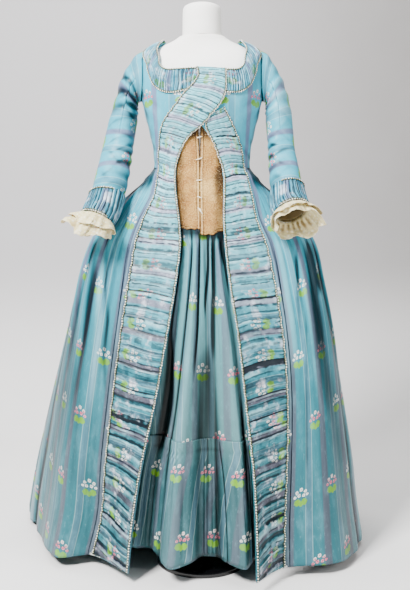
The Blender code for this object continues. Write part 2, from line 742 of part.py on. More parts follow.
# The lower tier's hem, an oval: its centre, its half axes outwards and forwards, and the lift of its tip.
RUFFLE_HEM = {
    1: ((0.2450, -0.140, 0.876), (0.061, 0.0, 0.006), (0.0, -0.046, 0.026), 0.004),
    -1: ((0.2900, -0.128, 0.856), (0.058, 0.0, 0.006), (0.0, -0.048, -0.002), 0.034),
}


def ruffle_base(side, angle, f):
    """Point of the ruffle from the cuff at f = 0 to the lower hem at f = 1, and its outward spoke."""
    centre, out, forward, tip = (v if k == 3 else Vector(v) for k, v in enumerate(RUFFLE_HEM[side]))
    wave = 1 + 0.13 * math.sin(RUFFLE_WAVES * angle + 0.6)
    spoke = out * math.sin(angle) + forward * math.cos(angle)
    hem = centre + spoke * wave
    hem.z += tip * ease((math.sin(angle) - 0.4) / 0.6)
    top = ring_point(side, 8.0, angle, 0.0, RUFFLE_START)
    bulge = mirror(side, spoke).normalized() * 0.004 * math.sin(math.pi * f)
    return top.lerp(mirror(side, hem), f) + bulge, mirror(side, spoke)


def ruffle_point(side, k, f, lift):
    """Point of the ruffle in column k, moved out square to the surface."""
    angle = 2 * math.pi * k / RUFFLE_AROUND
    here, spoke = ruffle_base(side, angle, f)
    if lift == 0.0:
        return here
    round_it = ruffle_base(side, angle + 0.2, f)[0] - ruffle_base(side, angle - 0.2, f)[0]
    down = ruffle_base(side, angle, f + 0.05)[0] - ruffle_base(side, angle, max(f - 0.05, 0.0))[0]
    out = round_it.cross(down).normalized()
    return here + out * math.copysign(lift, out.dot(spoke))


def ruffle(side, tier):
    """One tier of thin cotton: fixed round the sleeve's end and flaring to a waved edge."""
    rows = []
    if tier == "lower":
        rows.append(sleeve_ring(side, SLEEVE_END + 0.009, RUFFLE_AROUND))
        steps = ((0.0, 0.0), (0.3, 0.0), (0.64, 0.0), (1.0, 0.0))
    else:
        steps = ((0.05, 0.0030), (RUFFLE_SPLIT / 2, 0.0042), (RUFFLE_SPLIT, 0.0062))
    for f, lift in steps:
        rows.append([ruffle_point(side, k, f, lift) for k in range(RUFFLE_AROUND)])
    cloth("ruffle_" + tier + "_" + SIDE_NAMES[side], rows, COTTON, closed=True, mirrored=side > 0)


# ---------------------------------------------------------------- underthings

def linen(side):
    """Linen under-front, from the centre lacing to its place under the robing."""
    bottom = {1: 0.862, -1: 0.876}[side]
    levels = [mix(bottom, 0.985, r / 4) for r in range(4)] + [0.985, 1.010, 1.031]
    body = (1.038, 1.060, 1.085, 1.11, 1.14, 1.165, 1.195)
    centre = {1: 0.0024, -1: 0.0050}[side]
    rows = []
    for z in levels:
        start = -1 + centre / EDGE_AT_WAIST[side]
        rows.append([linen_low(side, mix(start, 0.42, c / 4), z) for c in range(5)])
    for z in body:
        row = []
        start = angle_at(centre, z)
        for c in range(5):
            u = mix(start, waist_angle(side, 0.42, z), c / 4)
            row.append(mirror(side, torso(u, z, LINEN_OFF)))
        rows.append(row)
    cloth("linen_" + SIDE_NAMES[side], rows, LINEN, mirrored=side < 0)


def linen_low(side, t, z):
    return petticoat_base(side, t, z, LINEN_OFF - PETTICOAT_OFF)


PETTICOAT_LEVELS = (0.052, 0.15, 0.26, 0.38, 0.50, 0.62, 0.73, 0.81, 0.858, 0.90, 0.945, 0.985, 1.010, 1.031)
FRONT_FOLDS_COLUMNS = ("place", "depth")
FRONT_FOLDS = ((-1.9, -0.2), (-1.45, -0.4), (-1.1, -0.5), (-0.84, -0.9), (-0.58, 0.1), (-0.38, 0.95),
               (-0.2, 0.1), (-0.05, -0.9), (0.12, -1.0), (0.34, -0.8), (0.52, 0.1), (0.78, 0.9),
               (1.12, 0.0), (1.6, -0.3), (2.0, 0.0))


def petticoat_stations():
    """Stations round the petticoat, signed: the left half above 0 and the right half below."""
    front = [-1.95, -1.62, -1.3, -1.05, -0.84, -0.7, -0.55, -0.4, -0.28, -0.14, 0.02, 0.18, 0.34, 0.48,
             0.62, 0.78, 0.94, 1.12, 1.35, 1.65, 1.95]
    rest = [2.5, 3.0, 3.5, 4.0, 4.5, 5.1, 5.8, 6.5]
    left = front + rest
    right = [-s for s in reversed(rest)]
    return left, right


def petticoat_fold(s, z):
    """Fold depth at the signed station s, 0 at the centre front and 1 at the robing's inner edge."""
    grow = ease((0.875 - z) / 0.75)
    early = 0.0035 * ease((0.862 - z) / 0.05)
    deep = look_up(FRONT_FOLDS, FRONT_FOLDS_COLUMNS, "depth", s) * 0.030
    small = early * math.sin(2 * math.pi * (s * 2.6 + 0.2)) * (1 if abs(s) < 1.3 else 0)
    back = 0.008 * grow * math.sin(2 * math.pi * s * 1.06)
    near = ease((1.95 - abs(s)) / 0.5)
    return deep * grow * near + small * (1 - grow) + back * (1 - near)


def petticoat_point(s, z, off=0.0):
    side = 1 if s >= 0 else -1
    return petticoat_base(side, abs(s) - 1, z, petticoat_fold(s, z) + off)


def petticoat():
    front, right = petticoat_stations()
    stations = front + [7.0] + right
    rows = []
    for z in PETTICOAT_LEVELS:
        rows.append([petticoat_point(s, z + hem_lift(s, z)) for s in stations])
    cloth("petticoat", rows, SILK, closed=True)


def hem_lift(s, z):
    """The hem rises where a fold goes back."""
    if abs(s) > 1.95:
        return 0.0
    return -0.008 * look_up(FRONT_FOLDS, FRONT_FOLDS_COLUMNS, "depth", s) * ease((0.30 - z) / 0.2)


FLOUNCE_COLUMNS = ("z", "depth")
FLOUNCE = ((0.058, 0.0065), (0.15, 0.0060), (0.25, 0.0045), (FLOUNCE_SEAM, 0.0004), (FLOUNCE_TOP, 0.0028))
FLOUNCE_GAP = 0.0020


def flounce():
    """Gathered strip on the petticoat's foot, with a small heading above its stitch line."""
    stations = petticoat_stations()[0]
    places = [stations[0]]
    for low, high in zip(stations, stations[1:]):
        places += [(low + high) / 2, high]
    rows = []
    for z, depth in FLOUNCE:
        row = []
        for k, s in enumerate(places):
            row.append(facet(lambda a, b: petticoat_point(a, b + hem_lift(a, b)), stations,
                             PETTICOAT_LEVELS, s, z, FLOUNCE_GAP + depth * (k % 2)))
        rows.append(row)
    cloth("flounce", rows, SILK, outward=True)


# ---------------------------------------------------------------- form and stand

def form_torso():
    """Smooth limbless torso, closed below and stopping under the neck cap."""
    levels = (FORM_BOTTOM, 0.85, 0.90, 0.945, 0.985, 1.015, 1.05, 1.10, 1.16, 1.22, 1.27, 1.31,
              1.330, 1.345, 1.358, 1.370, FORM_NECK)
    around = 20
    shape = bmesh.new()
    rings = []
    for z in levels:
        rings.append([shape.verts.new(torso(360 * k / around, z)) for k in range(around)])
    for low, high in zip(rings, rings[1:]):
        for k in range(around):
            n = (k + 1) % around
            shape.faces.new((low[k], low[n], high[n], high[k]))
    shape.faces.new(list(reversed(rings[0])))
    shape.faces.new(rings[-1])
    mesh = bpy.data.meshes.new("form_torso")
    shape.to_mesh(mesh)
    shape.free()
    new_object("form_torso", mesh, FORM)


def turned(name, profile, look, steps=28):
    """A turned solid: profile (radius, height) from the top down, closed on the axis."""
    mesh = bpy.data.meshes.new(name)
    verts = [(r, 0.0, z) for r, z in profile]
    mesh.from_pydata(verts, [(i, i + 1) for i in range(len(verts) - 1)], [])
    made = new_object(name, mesh, look)
    screw = made.modifiers.new("Turn", "SCREW")
    screw.steps = steps
    screw.render_steps = steps
    screw.use_merge_vertices = True
    screw.merge_threshold = 0.0001
    return made


def neck_cap():
    low = FORM_NECK + SEAM
    profile = ((0.0, CAP_TOP), (0.022, CAP_TOP - 0.002), (0.040, CAP_TOP - 0.008), (0.0505, CAP_TOP - 0.018),
               (0.0515, low + 0.012), (0.0525, low), (0.0, low))
    turned("form_neck_cap", profile, FORM, 22)


def stand():
    top = FORM_BOTTOM - SEAM
    boss = FOOT_RIM + 0.024
    foot = boss + SEAM
    turned("stand_pole", ((0.0, top), (POLE_RADIUS, top), (POLE_RADIUS, foot), (0.0, foot)), STEEL, 16)
    profile = ((0.0, boss), (0.022, boss), (0.028, boss - 0.008), (0.060, FOOT_RIM + 0.006),
               (FOOT_RADIUS - 0.014, FOOT_RIM + 0.001), (FOOT_RADIUS - 0.003, FOOT_RIM),
               (FOOT_RADIUS, FOOT_RIM - 0.003), (FOOT_RADIUS, 0.002), (FOOT_RADIUS - 0.002, 0.0), (0.0, 0.0))
    turned("stand_base", profile, BLACK, 26)


def main():
    for side in (1, -1):
        front_panel(side)
        bodice_side(side)
        skirt_side(side)
        robing(side)
        collar(side)
        sleeve(side)
        cuff(side)
        ruffle(side, "lower")
        ruffle(side, "upper")
        linen(side)
    back_panel()
    petticoat()
    flounce()
    form_torso()
    neck_cap()
    stand()


drop_objects()
PARTS = bpy.data.collections.new("robe_a_la_francaise")
bpy.context.scene.collection.children.link(PARTS)
SILK = material("turquoise_silk", (0.36, 0.62, 0.66), 0.42)
SILK_TRIM = material("turquoise_silk_gathered", (0.40, 0.66, 0.69), 0.42)
COTTON = material("ivory_cotton", (0.86, 0.81, 0.70), 0.75)
LINEN = material("tan_linen", (0.52, 0.40, 0.27), 0.85)
FORM = material("white_form", (0.88, 0.85, 0.80), 0.7)
STEEL = material("dark_steel", (0.05, 0.05, 0.055), 0.3, 0.8)
BLACK = material("black_enamel", (0.012, 0.012, 0.014), 0.22)
main()
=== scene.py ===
"""Robe a la francaise on a limbless dress form: the finished cloth, trims and stage.

Every sheet of cloth is a grid that is shaped by the same surfaces as its solid: the form's skin above the
waist, and sections spread by the side hoops below it. Sheets carry UVs in metres, u across the silk's
stripes and v along them, so that the stripes and sprigs run as the pieces were cut.
"""

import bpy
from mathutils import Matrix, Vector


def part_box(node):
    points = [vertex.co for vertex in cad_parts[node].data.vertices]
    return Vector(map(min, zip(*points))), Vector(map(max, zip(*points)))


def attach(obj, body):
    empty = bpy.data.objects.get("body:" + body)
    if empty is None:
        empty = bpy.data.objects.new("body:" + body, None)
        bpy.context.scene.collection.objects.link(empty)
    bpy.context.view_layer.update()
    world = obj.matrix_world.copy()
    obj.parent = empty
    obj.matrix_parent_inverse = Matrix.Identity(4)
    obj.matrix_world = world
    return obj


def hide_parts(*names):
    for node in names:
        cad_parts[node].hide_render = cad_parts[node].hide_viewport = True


bl_info = {
    "name": "Robe a la francaise",
    "version": (1, 0, 0),
    "blender": (4, 5, 0),
    "location": "3D View > Sidebar > Robe",
    "description": "Makes a striped and sprigged silk sack-back gown on its dress form",
    "category": "Object",
}

import bmesh
import bpy
import numpy as np
from mathutils import Vector
from numpy import cos, pi, sin

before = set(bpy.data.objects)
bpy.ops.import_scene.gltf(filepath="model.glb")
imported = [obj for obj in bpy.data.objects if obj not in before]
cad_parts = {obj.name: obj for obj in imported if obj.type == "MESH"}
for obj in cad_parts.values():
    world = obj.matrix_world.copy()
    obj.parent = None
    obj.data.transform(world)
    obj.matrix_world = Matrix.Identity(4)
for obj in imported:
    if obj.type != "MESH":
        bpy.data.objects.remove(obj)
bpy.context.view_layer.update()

# Walls and the layers that they lie in, measured outwards from the dress form.
WALL = 0.0012
PETTICOAT_OFF = 0.0026
LINEN_OFF = 0.0047
GOWN_OFF = 0.0076
TRIM_GAP = 0.0009
ROBING_GAP = 0.0015
CROSSING_GAP = 0.0036
SEAM = 0.0003

# Heights.
WAIST = 1.035
SKIRT_TOP = 1.0
WAIST_ROW = 1.031
FORM_BOTTOM, FORM_NECK = (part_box("form_torso")[k].z for k in (0, 1))
CAP_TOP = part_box("form_neck_cap")[1].z
FOOT_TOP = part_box("stand_base")[1].z
FOOT_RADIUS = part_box("stand_base")[1].x
GOWN_HEM = 0.03
BACK_HEM = 0.006
SIDE_WAIST = 1.0361
PETTICOAT_HEM = 0.052
FLOUNCE_HEM = 0.058
FLOUNCE_TOP = 0.352
FLOUNCE_SEAM = 0.325
FLOUNCE_REACH = 1.95

# The armhole, an oval on the side of the body.
ARMHOLE_Z = 1.279
ARMHOLE_HALF_ANGLE = 26.0
ARMHOLE_HALF_HEIGHT = 0.060

BODY_COLUMNS = ("z", "half_width", "front", "back")
BODY = (
    (0.800, 0.138, 0.090, 0.102),
    (0.870, 0.146, 0.098, 0.110),
    (0.930, 0.144, 0.098, 0.108),
    (0.980, 0.135, 0.095, 0.102),
    (1.010, 0.126, 0.092, 0.096),
    (1.045, 0.119, 0.090, 0.092),
    (1.090, 0.122, 0.095, 0.094),
    (1.140, 0.133, 0.104, 0.098),
    (1.180, 0.143, 0.110, 0.101),
    (1.220, 0.152, 0.111, 0.103),
    (1.250, 0.159, 0.107, 0.103),
    (1.280, 0.163, 0.099, 0.101),
    (1.308, 0.160, 0.086, 0.096),
    (1.330, 0.151, 0.072, 0.086),
    (1.345, 0.134, 0.061, 0.076),
    (1.358, 0.108, 0.054, 0.066),
    (1.371, 0.080, 0.050, 0.058),
    (1.383, 0.062, 0.050, 0.055),
    (1.400, 0.052, 0.050, 0.051),
)
ROUNDNESS = 2.2

# Half a skirt section, from the robing's inner edge round to the back corner, x from the middle.
SKIRT_COLUMNS = ("z", "edge_x", "edge_y", "robing_x", "robing_y", "front_x", "front_y",
                 "side_x", "side_y", "corner_x", "corner_y")
SKIRT_LEFT = (
    (1.000, 0.0545, -0.104, 0.117, -0.079, 0.139, -0.046, 0.155, 0.005, 0.135, 0.070),
    (0.960, 0.0538, -0.108, 0.127, -0.085, 0.170, -0.055, 0.203, 0.005, 0.175, 0.090),
    (0.900, 0.0530, -0.113, 0.139, -0.090, 0.208, -0.062, 0.260, 0.005, 0.225, 0.115),
    (0.840, 0.0565, -0.118, 0.163, -0.092, 0.240, -0.068, 0.300, 0.010, 0.260, 0.140),
    (0.750, 0.0660, -0.125, 0.183, -0.093, 0.262, -0.073, 0.321, 0.015, 0.285, 0.170),
    (0.600, 0.0880, -0.140, 0.206, -0.097, 0.288, -0.078, 0.352, 0.025, 0.325, 0.215),
    (0.450, 0.1040, -0.155, 0.216, -0.102, 0.304, -0.081, 0.373, 0.040, 0.360, 0.260),
    (0.280, 0.1220, -0.178, 0.213, -0.110, 0.320, -0.084, 0.398, 0.055, 0.398, 0.305),
    (0.140, 0.1280, -0.198, 0.207, -0.118, 0.335, -0.086, 0.415, 0.070, 0.425, 0.340),
    (0.030, 0.1300, -0.212, 0.205, -0.124, 0.349, -0.085, 0.432, 0.080, 0.445, 0.365),
)
SKIRT_RIGHT = (
    (1.000, 0.0665, -0.102, 0.113, -0.081, 0.139, -0.046, 0.155, 0.005, 0.135, 0.070),
    (0.960, 0.0635, -0.108, 0.121, -0.088, 0.170, -0.055, 0.203, 0.005, 0.175, 0.090),
    (0.900, 0.0560, -0.113, 0.150, -0.090, 0.208, -0.062, 0.260, 0.005, 0.225, 0.120),
    (0.840, 0.0525, -0.117, 0.170, -0.090, 0.240, -0.068, 0.297, 0.010, 0.260, 0.150),
    (0.750, 0.0620, -0.122, 0.186, -0.089, 0.265, -0.072, 0.328, 0.020, 0.300, 0.185),
    (0.600, 0.0865, -0.130, 0.209, -0.084, 0.292, -0.072, 0.362, 0.050, 0.360, 0.235),
    (0.450, 0.1125, -0.138, 0.2285, -0.075, 0.318, -0.066, 0.395, 0.085, 0.410, 0.280),
    (0.280, 0.1490, -0.147, 0.248, -0.062, 0.345, -0.058, 0.430, 0.120, 0.462, 0.330),
    (0.140, 0.1700, -0.153, 0.259, -0.052, 0.362, -0.050, 0.458, 0.155, 0.495, 0.360),
    (0.030, 0.1810, -0.157, 0.284, -0.046, 0.385, -0.045, 0.475, 0.190, 0.518, 0.385),
)
SKIRTS = {1: SKIRT_LEFT, -1: SKIRT_RIGHT}
EDGE_AT_WAIST = {1: 0.0490, -1: 0.0630}
ROBING_AT_WAIST = {1: 0.1000, -1: 0.1035}
FRONT_OUTER = (1.13, 1.22)
KNOT_ANGLES = (80.0, 95.0, 120.0, 150.0, 180.0)

# How deep the back hangs and how far the petticoat's front stands behind the gown's.
DEPTH_COLUMNS = ("z", "back", "petticoat", "inset", "side_inset")
DEPTH = (
    (1.000, 0.175, 0.0958, 0.0070, 0.006),
    (0.960, 0.195, 0.1005, 0.0085, 0.010),
    (0.900, 0.222, 0.1058, 0.0095, 0.014),
    (0.840, 0.250, 0.1110, 0.0110, 0.016),
    (0.750, 0.290, 0.1180, 0.0150, 0.019),
    (0.600, 0.360, 0.1270, 0.0240, 0.023),
    (0.450, 0.430, 0.1350, 0.0350, 0.027),
    (0.280, 0.510, 0.1460, 0.0550, 0.030),
    (0.140, 0.570, 0.1540, 0.0680, 0.032),
    (0.030, 0.620, 0.1600, 0.0760, 0.034),
)
# How far the petticoat's knots lie inwards from and behind the gown's, as shares of side_inset.
PETTICOAT_INSETS = ((0.8, 1.1), (0.7, 1.2), (1.0, 0.0), (1.0, -1.3), (1.0, -2.2), (0.0, -2.6))
SACK_ANGLE, SACK_SPREAD = 129, 28
SACK_COLUMNS = ("z", "fall")
SACK = ((1.00, 0.085), (1.035, 0.073), (1.12, 0.040), (1.20, 0.015), (1.28, 0.002), (1.37, 0.0))

# The front panel above the waist: its inner edge and the neckline as x (towards its own side) and z,
# the shoulder and the side seam as an angle from the centre front and z, and the piece under the arm.
OPENINGS = {
    -1: ((0.063, 1.038), (0.0566, 1.062), (0.044, 1.093), (0.025, 1.1195), (0.0018, 1.1376),
         (-0.01, 1.17), (-0.018, 1.205), (-0.021, 1.24), (-0.022, 1.281)),
    1: ((0.049, 1.038), (0.0397, 1.062), (0.0277, 1.096), (0.013, 1.1205), (-0.0008, 1.1376),
        (0.011, 1.17), (0.019, 1.205), (0.022, 1.24), (0.023, 1.281)),
}
NECKLINE = ((0.058, 1.279), (0.088, 1.28), (0.1035, 1.296), (0.1075, 1.322))
SHOULDER_NECK = (58.0, 1.354), (89.7, 1.3655)
BODICE_ANGLES = (80.35, 90, 100, 108, 114.7, 128.6)
SIDE_SEAM = ((80, 1.038), (80, 1.055), (80, 1.082), (80, 1.11), (80, 1.138), (80, 1.165), (80, 1.19),
             (80, 1.212), (76, 1.2275), (69, 1.244), (65.2, 1.262), (64, 1.28), (66, 1.301),
             (74, 1.325), (89.7, 1.3385))

# Each robing above the waist, from bottom to top, x towards its own side: outer x and z, inner x and z.
ROBING_STEP = 0.030
ROBING_BELOW = WAIST / 0.97
ROBINGS = {
    -1: ((0.1030, 1.0380, 0.0620, 1.0350),
         (0.1040, 1.0656, 0.0556, 1.0620),
         (0.1020, 1.1010, 0.0430, 1.0930),
         (0.1000, 1.1310, 0.0240, 1.1195),
         (0.0890, 1.1580, 0.0008, 1.1376),
         (0.0659, 1.1890, -0.0214, 1.1640),
         (0.0453, 1.2170, -0.0430, 1.1900),
         (0.0250, 1.2370, -0.0565, 1.2195),
         (0.0110, 1.2600, -0.0590, 1.2500),
         (0.0140, 1.2820, -0.0586, 1.2790)),
    1: ((0.1000, 1.0380, 0.0480, 1.0350),
        (0.0975, 1.0600, 0.0390, 1.0600),
        (0.0925, 1.0940, 0.0270, 1.0960),
        (0.0780, 1.1350, 0.0130, 1.1220),
        (0.0640, 1.1650, 0.0080, 1.1440),
        (0.0545, 1.1850, 0.0150, 1.1650)),
}

# The collar's inner and outer edges: x towards its own side and z for each along the front, then angle
# and height for each over the shoulder.
COLLAR_FIRST = {1: (0.050, 1.2795, 0.050, 1.2215), -1: (0.004, 1.2810, 0.016, 1.2290)}
COLLAR_FRONT = (
    (0.060, 1.2790, 0.065, 1.2200),
    (0.088, 1.2810, 0.095, 1.2245),
    (0.1035, 1.2965, 0.118, 1.2440),
    (0.1075, 1.3220, 0.130, 1.2720),
)
COLLAR_OVER = (
    (58.0, 1.3535, 58.5, 1.3060),
    (88.0, 1.3645, 88.0, 1.3480),
    (108.0, 1.3580, 102.0, 1.3370),
    (121.0, 1.3530, 116.0, 1.3210),
)

# Rings of each sleeve, from shoulder to cuff: x and z of the outer and of the inner point, y, half depth.
SLEEVES = {
    -1: ((0.1885, 1.3180, 0.1680, 1.2110, -0.002, 0.047),
         (0.2130, 1.2790, 0.1690, 1.2000, -0.004, 0.046),
         (0.2280, 1.2240, 0.1695, 1.1870, -0.006, 0.044),
         (0.2440, 1.1640, 0.1705, 1.1580, -0.008, 0.043),
         (0.2544, 1.1160, 0.1770, 1.1080, -0.012, 0.042),
         (0.2650, 1.0610, 0.1840, 1.0530, -0.026, 0.042),
         (0.2790, 0.9880, 0.1930, 0.9840, -0.064, 0.040),
         (0.2910, 0.9390, 0.2110, 0.9230, -0.092, 0.040),
         (0.3010, 0.9150, 0.2260, 0.8860, -0.108, 0.040)),
    1: ((0.1830, 1.3240, 0.1675, 1.2115, -0.002, 0.047),
        (0.2058, 1.2880, 0.1680, 1.2010, -0.004, 0.046),
        (0.2240, 1.2400, 0.1680, 1.1870, -0.006, 0.044),
        (0.2350, 1.1850, 0.1680, 1.1600, -0.008, 0.042),
        (0.2390, 1.1330, 0.1700, 1.1180, -0.010, 0.041),
        (0.2430, 1.0790, 0.1735, 1.0650, -0.022, 0.041),
        (0.2543, 1.0100, 0.1750, 0.9960, -0.058, 0.040),
        (0.2600, 0.9540, 0.1790, 0.9330, -0.100, 0.040),
        (0.2660, 0.9320, 0.1830, 0.9080, -0.120, 0.040)),
}
SLEEVE_END = 7.6
CUFF_TOP, CUFF_END = 6.35, 8.0
CUFF_GAP = 0.0011
SIDE_NAMES = {1: "left", -1: "right"}

# Rows and columns of the sheets' grids.
FRONT_ROWS, FRONT_BODY_ROWS, FRONT_COLUMNS = 110, 84, 34
BODICE_ROWS, BODICE_COLUMNS = 40, 40
SIDE_ROWS, SIDE_COLUMNS = 104, 150
BACK_ROWS, BACK_BODY_ROWS, BACK_COLUMNS = 80, 70, 84
ROBING_ROWS_IN_METRE, ROBING_COLUMNS = 540, 27
COLLAR_ROWS, COLLAR_COLUMNS = 19, 300
SLEEVE_HEAD_ROWS, SLEEVE_ROWS, SLEEVE_COLUMNS = 12, 120, 65
CUFF_ROWS, CUFF_COLUMNS = 17, 361
RUFFLE_ROWS, RUFFLE_COLUMNS = 22, 241
PETTICOAT_ROWS, FLOUNCE_COLUMNS = 96, 400
FORWARD = (0.0, -1.0, 0.0)

# The lower ruffle's hem, an oval: its centre, its half axes outwards and forwards, and its tip's lift.
RUFFLE_HEM = {
    1: ((0.2450, -0.140, 0.876), (0.061, 0.0, 0.006), (0.0, -0.046, 0.026), 0.004),
    -1: ((0.2900, -0.128, 0.856), (0.058, 0.0, 0.006), (0.0, -0.048, -0.002), 0.034),
}
RUFFLE_WAVES = 5
RUFFLE_SPLIT = 0.52
RUFFLE_START = 0.0012

FRONT_FOLDS_COLUMNS = ("place", "depth")
FRONT_FOLDS = ((-1.9, -0.2), (-1.45, -0.4), (-1.1, -0.5), (-0.84, -0.9), (-0.58, 0.1), (-0.38, 0.95),
               (-0.2, 0.1), (-0.05, -0.9), (0.12, -1.0), (0.34, -0.8), (0.52, 0.1), (0.78, 0.9),
               (1.12, 0.0), (1.6, -0.3), (2.0, 0.0))

# Where the silk's mauve stripe lies on the fronts, in metres of cloth from the middle.
BODY_MAUVE = 0.125

BACK_SEAM = 4.30
BACK_HALF = 10
BACK_PLEATS = (0, 0.1, 0.7, 0.9, -0.5, 0.9, 0.9, -0.5, 0.8, 0.8, 0.3)
# The back above the waist, row by row: angle and height at its side, and at its outer pleats, and height
# behind.
BACK_BODY = (
    (129.0, 1.0345, 144, 1.0355, 1.037),
    (129.0, 1.110, 143, 1.110, 1.110),
    (129.0, 1.180, 141, 1.180, 1.180),
    (129.0, 1.246, 138, 1.240, 1.235),
    (115.0, 1.2485, 136, 1.262, 1.268),
    (116.0, 1.279, 133, 1.293, 1.300),
    (113.5, 1.303, 124, 1.318, 1.325),
    (106.0, 1.3245, 112, 1.342, 1.338),
    (90.3, 1.3385, 90.3, 1.3655, 1.349),
)

# Folds of the skirt's sides: place across at the waist and at the hem (0 front edge, 1 back seam), height
# in metres, half width across, and the heights between which the fold shows.
SIDE_RIDGES = {
    1: ((0.04, 0.06, 0.005, 0.022, 0.3, 1.0), (0.085, 0.12, -0.007, 0.02, 0.1, 1.01),
        (0.14, 0.17, 0.006, 0.03, 0.25, 1.0), (0.2, 0.235, -0.009, 0.024, 0.02, 1.01),
        (0.265, 0.32, 0.007, 0.04, 0.02, 0.99), (0.345, 0.4, -0.006, 0.022, 0.35, 1.0),
        (0.42, 0.47, 0.009, 0.045, 0.02, 0.98), (0.51, 0.55, -0.01, 0.028, 0.02, 1.01),
        (0.59, 0.62, 0.008, 0.04, 0.1, 0.98), (0.67, 0.69, -0.009, 0.026, 0.02, 1.0),
        (0.75, 0.76, 0.008, 0.035, 0.02, 0.97), (0.83, 0.83, -0.008, 0.024, 0.02, 1.0),
        (0.9, 0.905, 0.006, 0.024, 0.02, 0.97)),
    -1: ((0.035, 0.045, 0.005, 0.02, 0.3, 0.99), (0.075, 0.09, -0.008, 0.018, 0.08, 1.01),
         (0.12, 0.14, 0.006, 0.028, 0.2, 1.0), (0.17, 0.2, -0.006, 0.02, 0.4, 1.0),
         (0.23, 0.265, 0.009, 0.038, 0.02, 0.99), (0.3, 0.335, -0.01, 0.026, 0.02, 1.01),
         (0.37, 0.41, 0.007, 0.04, 0.05, 0.99), (0.45, 0.48, -0.007, 0.024, 0.3, 1.0),
         (0.53, 0.56, 0.009, 0.042, 0.02, 0.98), (0.62, 0.64, -0.009, 0.028, 0.02, 1.0),
         (0.7, 0.72, 0.008, 0.038, 0.1, 0.98), (0.79, 0.8, -0.008, 0.026, 0.02, 1.01),
         (0.88, 0.89, 0.007, 0.03, 0.02, 0.97)),
}

# Shadows and lit ridges of the hanging skirt fronts, for each side: heights, distances from the middle at
# them, half widths at them, or one for all, and depths, above 0 for a shadow and below 0 for a ridge.
SKIRT_SHADES = {
    -1: (
        ((0.42, 0.47, 0.55, 0.64, 0.73, 0.82, 0.86), (0.247, 0.247, 0.25, 0.241, 0.247, 0.244, 0.243),
         0.006, (0.0, 0.5, 0.6, 0.7, 0.7, 0.7, 0.4)),
        ((0.38, 0.47, 0.55, 0.64, 0.76, 0.84, 0.88), (0.286, 0.279, 0.273, 0.262, 0.258, 0.256, 0.255),
         0.01, (0.0, -0.5, -0.7, -0.7, -0.7, -0.7, 0.0)),
        ((0.1, 0.25, 0.385, 0.47, 0.58, 0.7, 0.76, 0.84),
         (0.35, 0.335, 0.322, 0.316, 0.302, 0.29, 0.282, 0.276),
         (0.014, 0.014, 0.012, 0.012, 0.013, 0.011, 0.009, 0.008),
         (0.0, 0.4, 0.5, 0.55, 0.55, 0.55, 0.5, 0.3)),
        ((0.48, 0.58, 0.69, 0.815, 0.85), (0.322, 0.3186, 0.311, 0.303, 0.3), 0.01,
         (0.0, -0.45, -0.5, -0.5, 0.0)),
        ((0.08, 0.2, 0.4, 0.55, 0.64), (0.235, 0.225, 0.222, 0.228, 0.23), 0.012,
         (0.3, 0.4, 0.35, 0.3, 0.0)),
        ((0.05, 0.2, 0.34, 0.46), (0.3, 0.29, 0.275, 0.262), 0.006, (0.3, 0.35, 0.35, 0.0)),
    ),
    1: (
        ((0.5, 0.553, 0.644, 0.76, 0.84, 0.88), (0.233, 0.2326, 0.2253, 0.2098, 0.1963, 0.192),
         0.014, (0.0, -0.45, -0.6, -0.6, -0.6, -0.3)),
        ((0.58, 0.644, 0.7, 0.76, 0.823, 0.86), (0.25, 0.248, 0.2435, 0.2424, 0.2435, 0.244),
         0.006, (0.0, 0.6, 0.75, 0.75, 0.7, 0.4)),
        ((0.22, 0.3, 0.62, 0.68), (0.266, 0.2652, 0.2652, 0.265), 0.004, (0.0, 0.5, 0.5, 0.0)),
        ((0.37, 0.413, 0.473, 0.553, 0.644, 0.724, 0.78),
         (0.312, 0.3056, 0.297, 0.2823, 0.274, 0.2616, 0.256), 0.008,
         (0.0, -0.5, -0.5, -0.5, -0.5, -0.4, 0.0)),
        ((0.1, 0.25, 0.38, 0.445, 0.553, 0.615, 0.672, 0.76, 0.84),
         (0.335, 0.325, 0.316, 0.316, 0.3, 0.3, 0.294, 0.2875, 0.2823),
         (0.014, 0.014, 0.012, 0.012, 0.015, 0.019, 0.016, 0.011, 0.01),
         (0.2, 0.3, 0.3, 0.35, 0.45, 0.62, 0.66, 0.62, 0.4)),
        ((0.7, 0.724, 0.789, 0.851, 0.87), (0.312, 0.308, 0.2875, 0.271, 0.268), 0.005,
         (0.0, 0.8, 0.8, 0.8, 0.0)),
        ((0.3, 0.385, 0.473, 0.587, 0.7, 0.74), (0.385, 0.372, 0.3546, 0.3315, 0.31, 0.306),
         0.012, (0.0, -0.5, -0.5, -0.5, -0.5, 0.0)),
    ),
}

# Painted shade of a sleeve's drags: where down the sleeve and how far round they lie, slope, spread round and
# strength.
SLEEVE_DRAGS = (
    (0.7, 0.3, 0.5, 0.7, 0.5), (1.3, -0.2, -0.5, 0.8, 0.6), (1.9, 0.6, 0.4, 0.9, 0.5),
    (2.6, -0.4, -0.3, 0.7, 0.6), (3.2, 0.5, 0.5, 0.8, 0.5), (3.8, -0.1, -0.4, 0.9, 0.7),
    (4.3, 0.3, 0.5, 0.9, 0.8), (4.7, -0.3, 0.3, 1.0, 0.9), (5.1, 0.2, -0.4, 1.0, 0.9),
    (5.5, -0.2, 0.4, 0.9, 0.8), (5.9, 0.4, -0.3, 0.8, 0.6), (6.3, 0.0, 0.3, 0.9, 0.6),
    (1.1, 2.6, 0.5, 0.8, 0.5), (2.4, 3.0, -0.4, 0.8, 0.5), (3.7, 2.8, 0.4, 0.9, 0.6),
    (4.9, 3.1, 0.4, 0.9, 0.7),
)

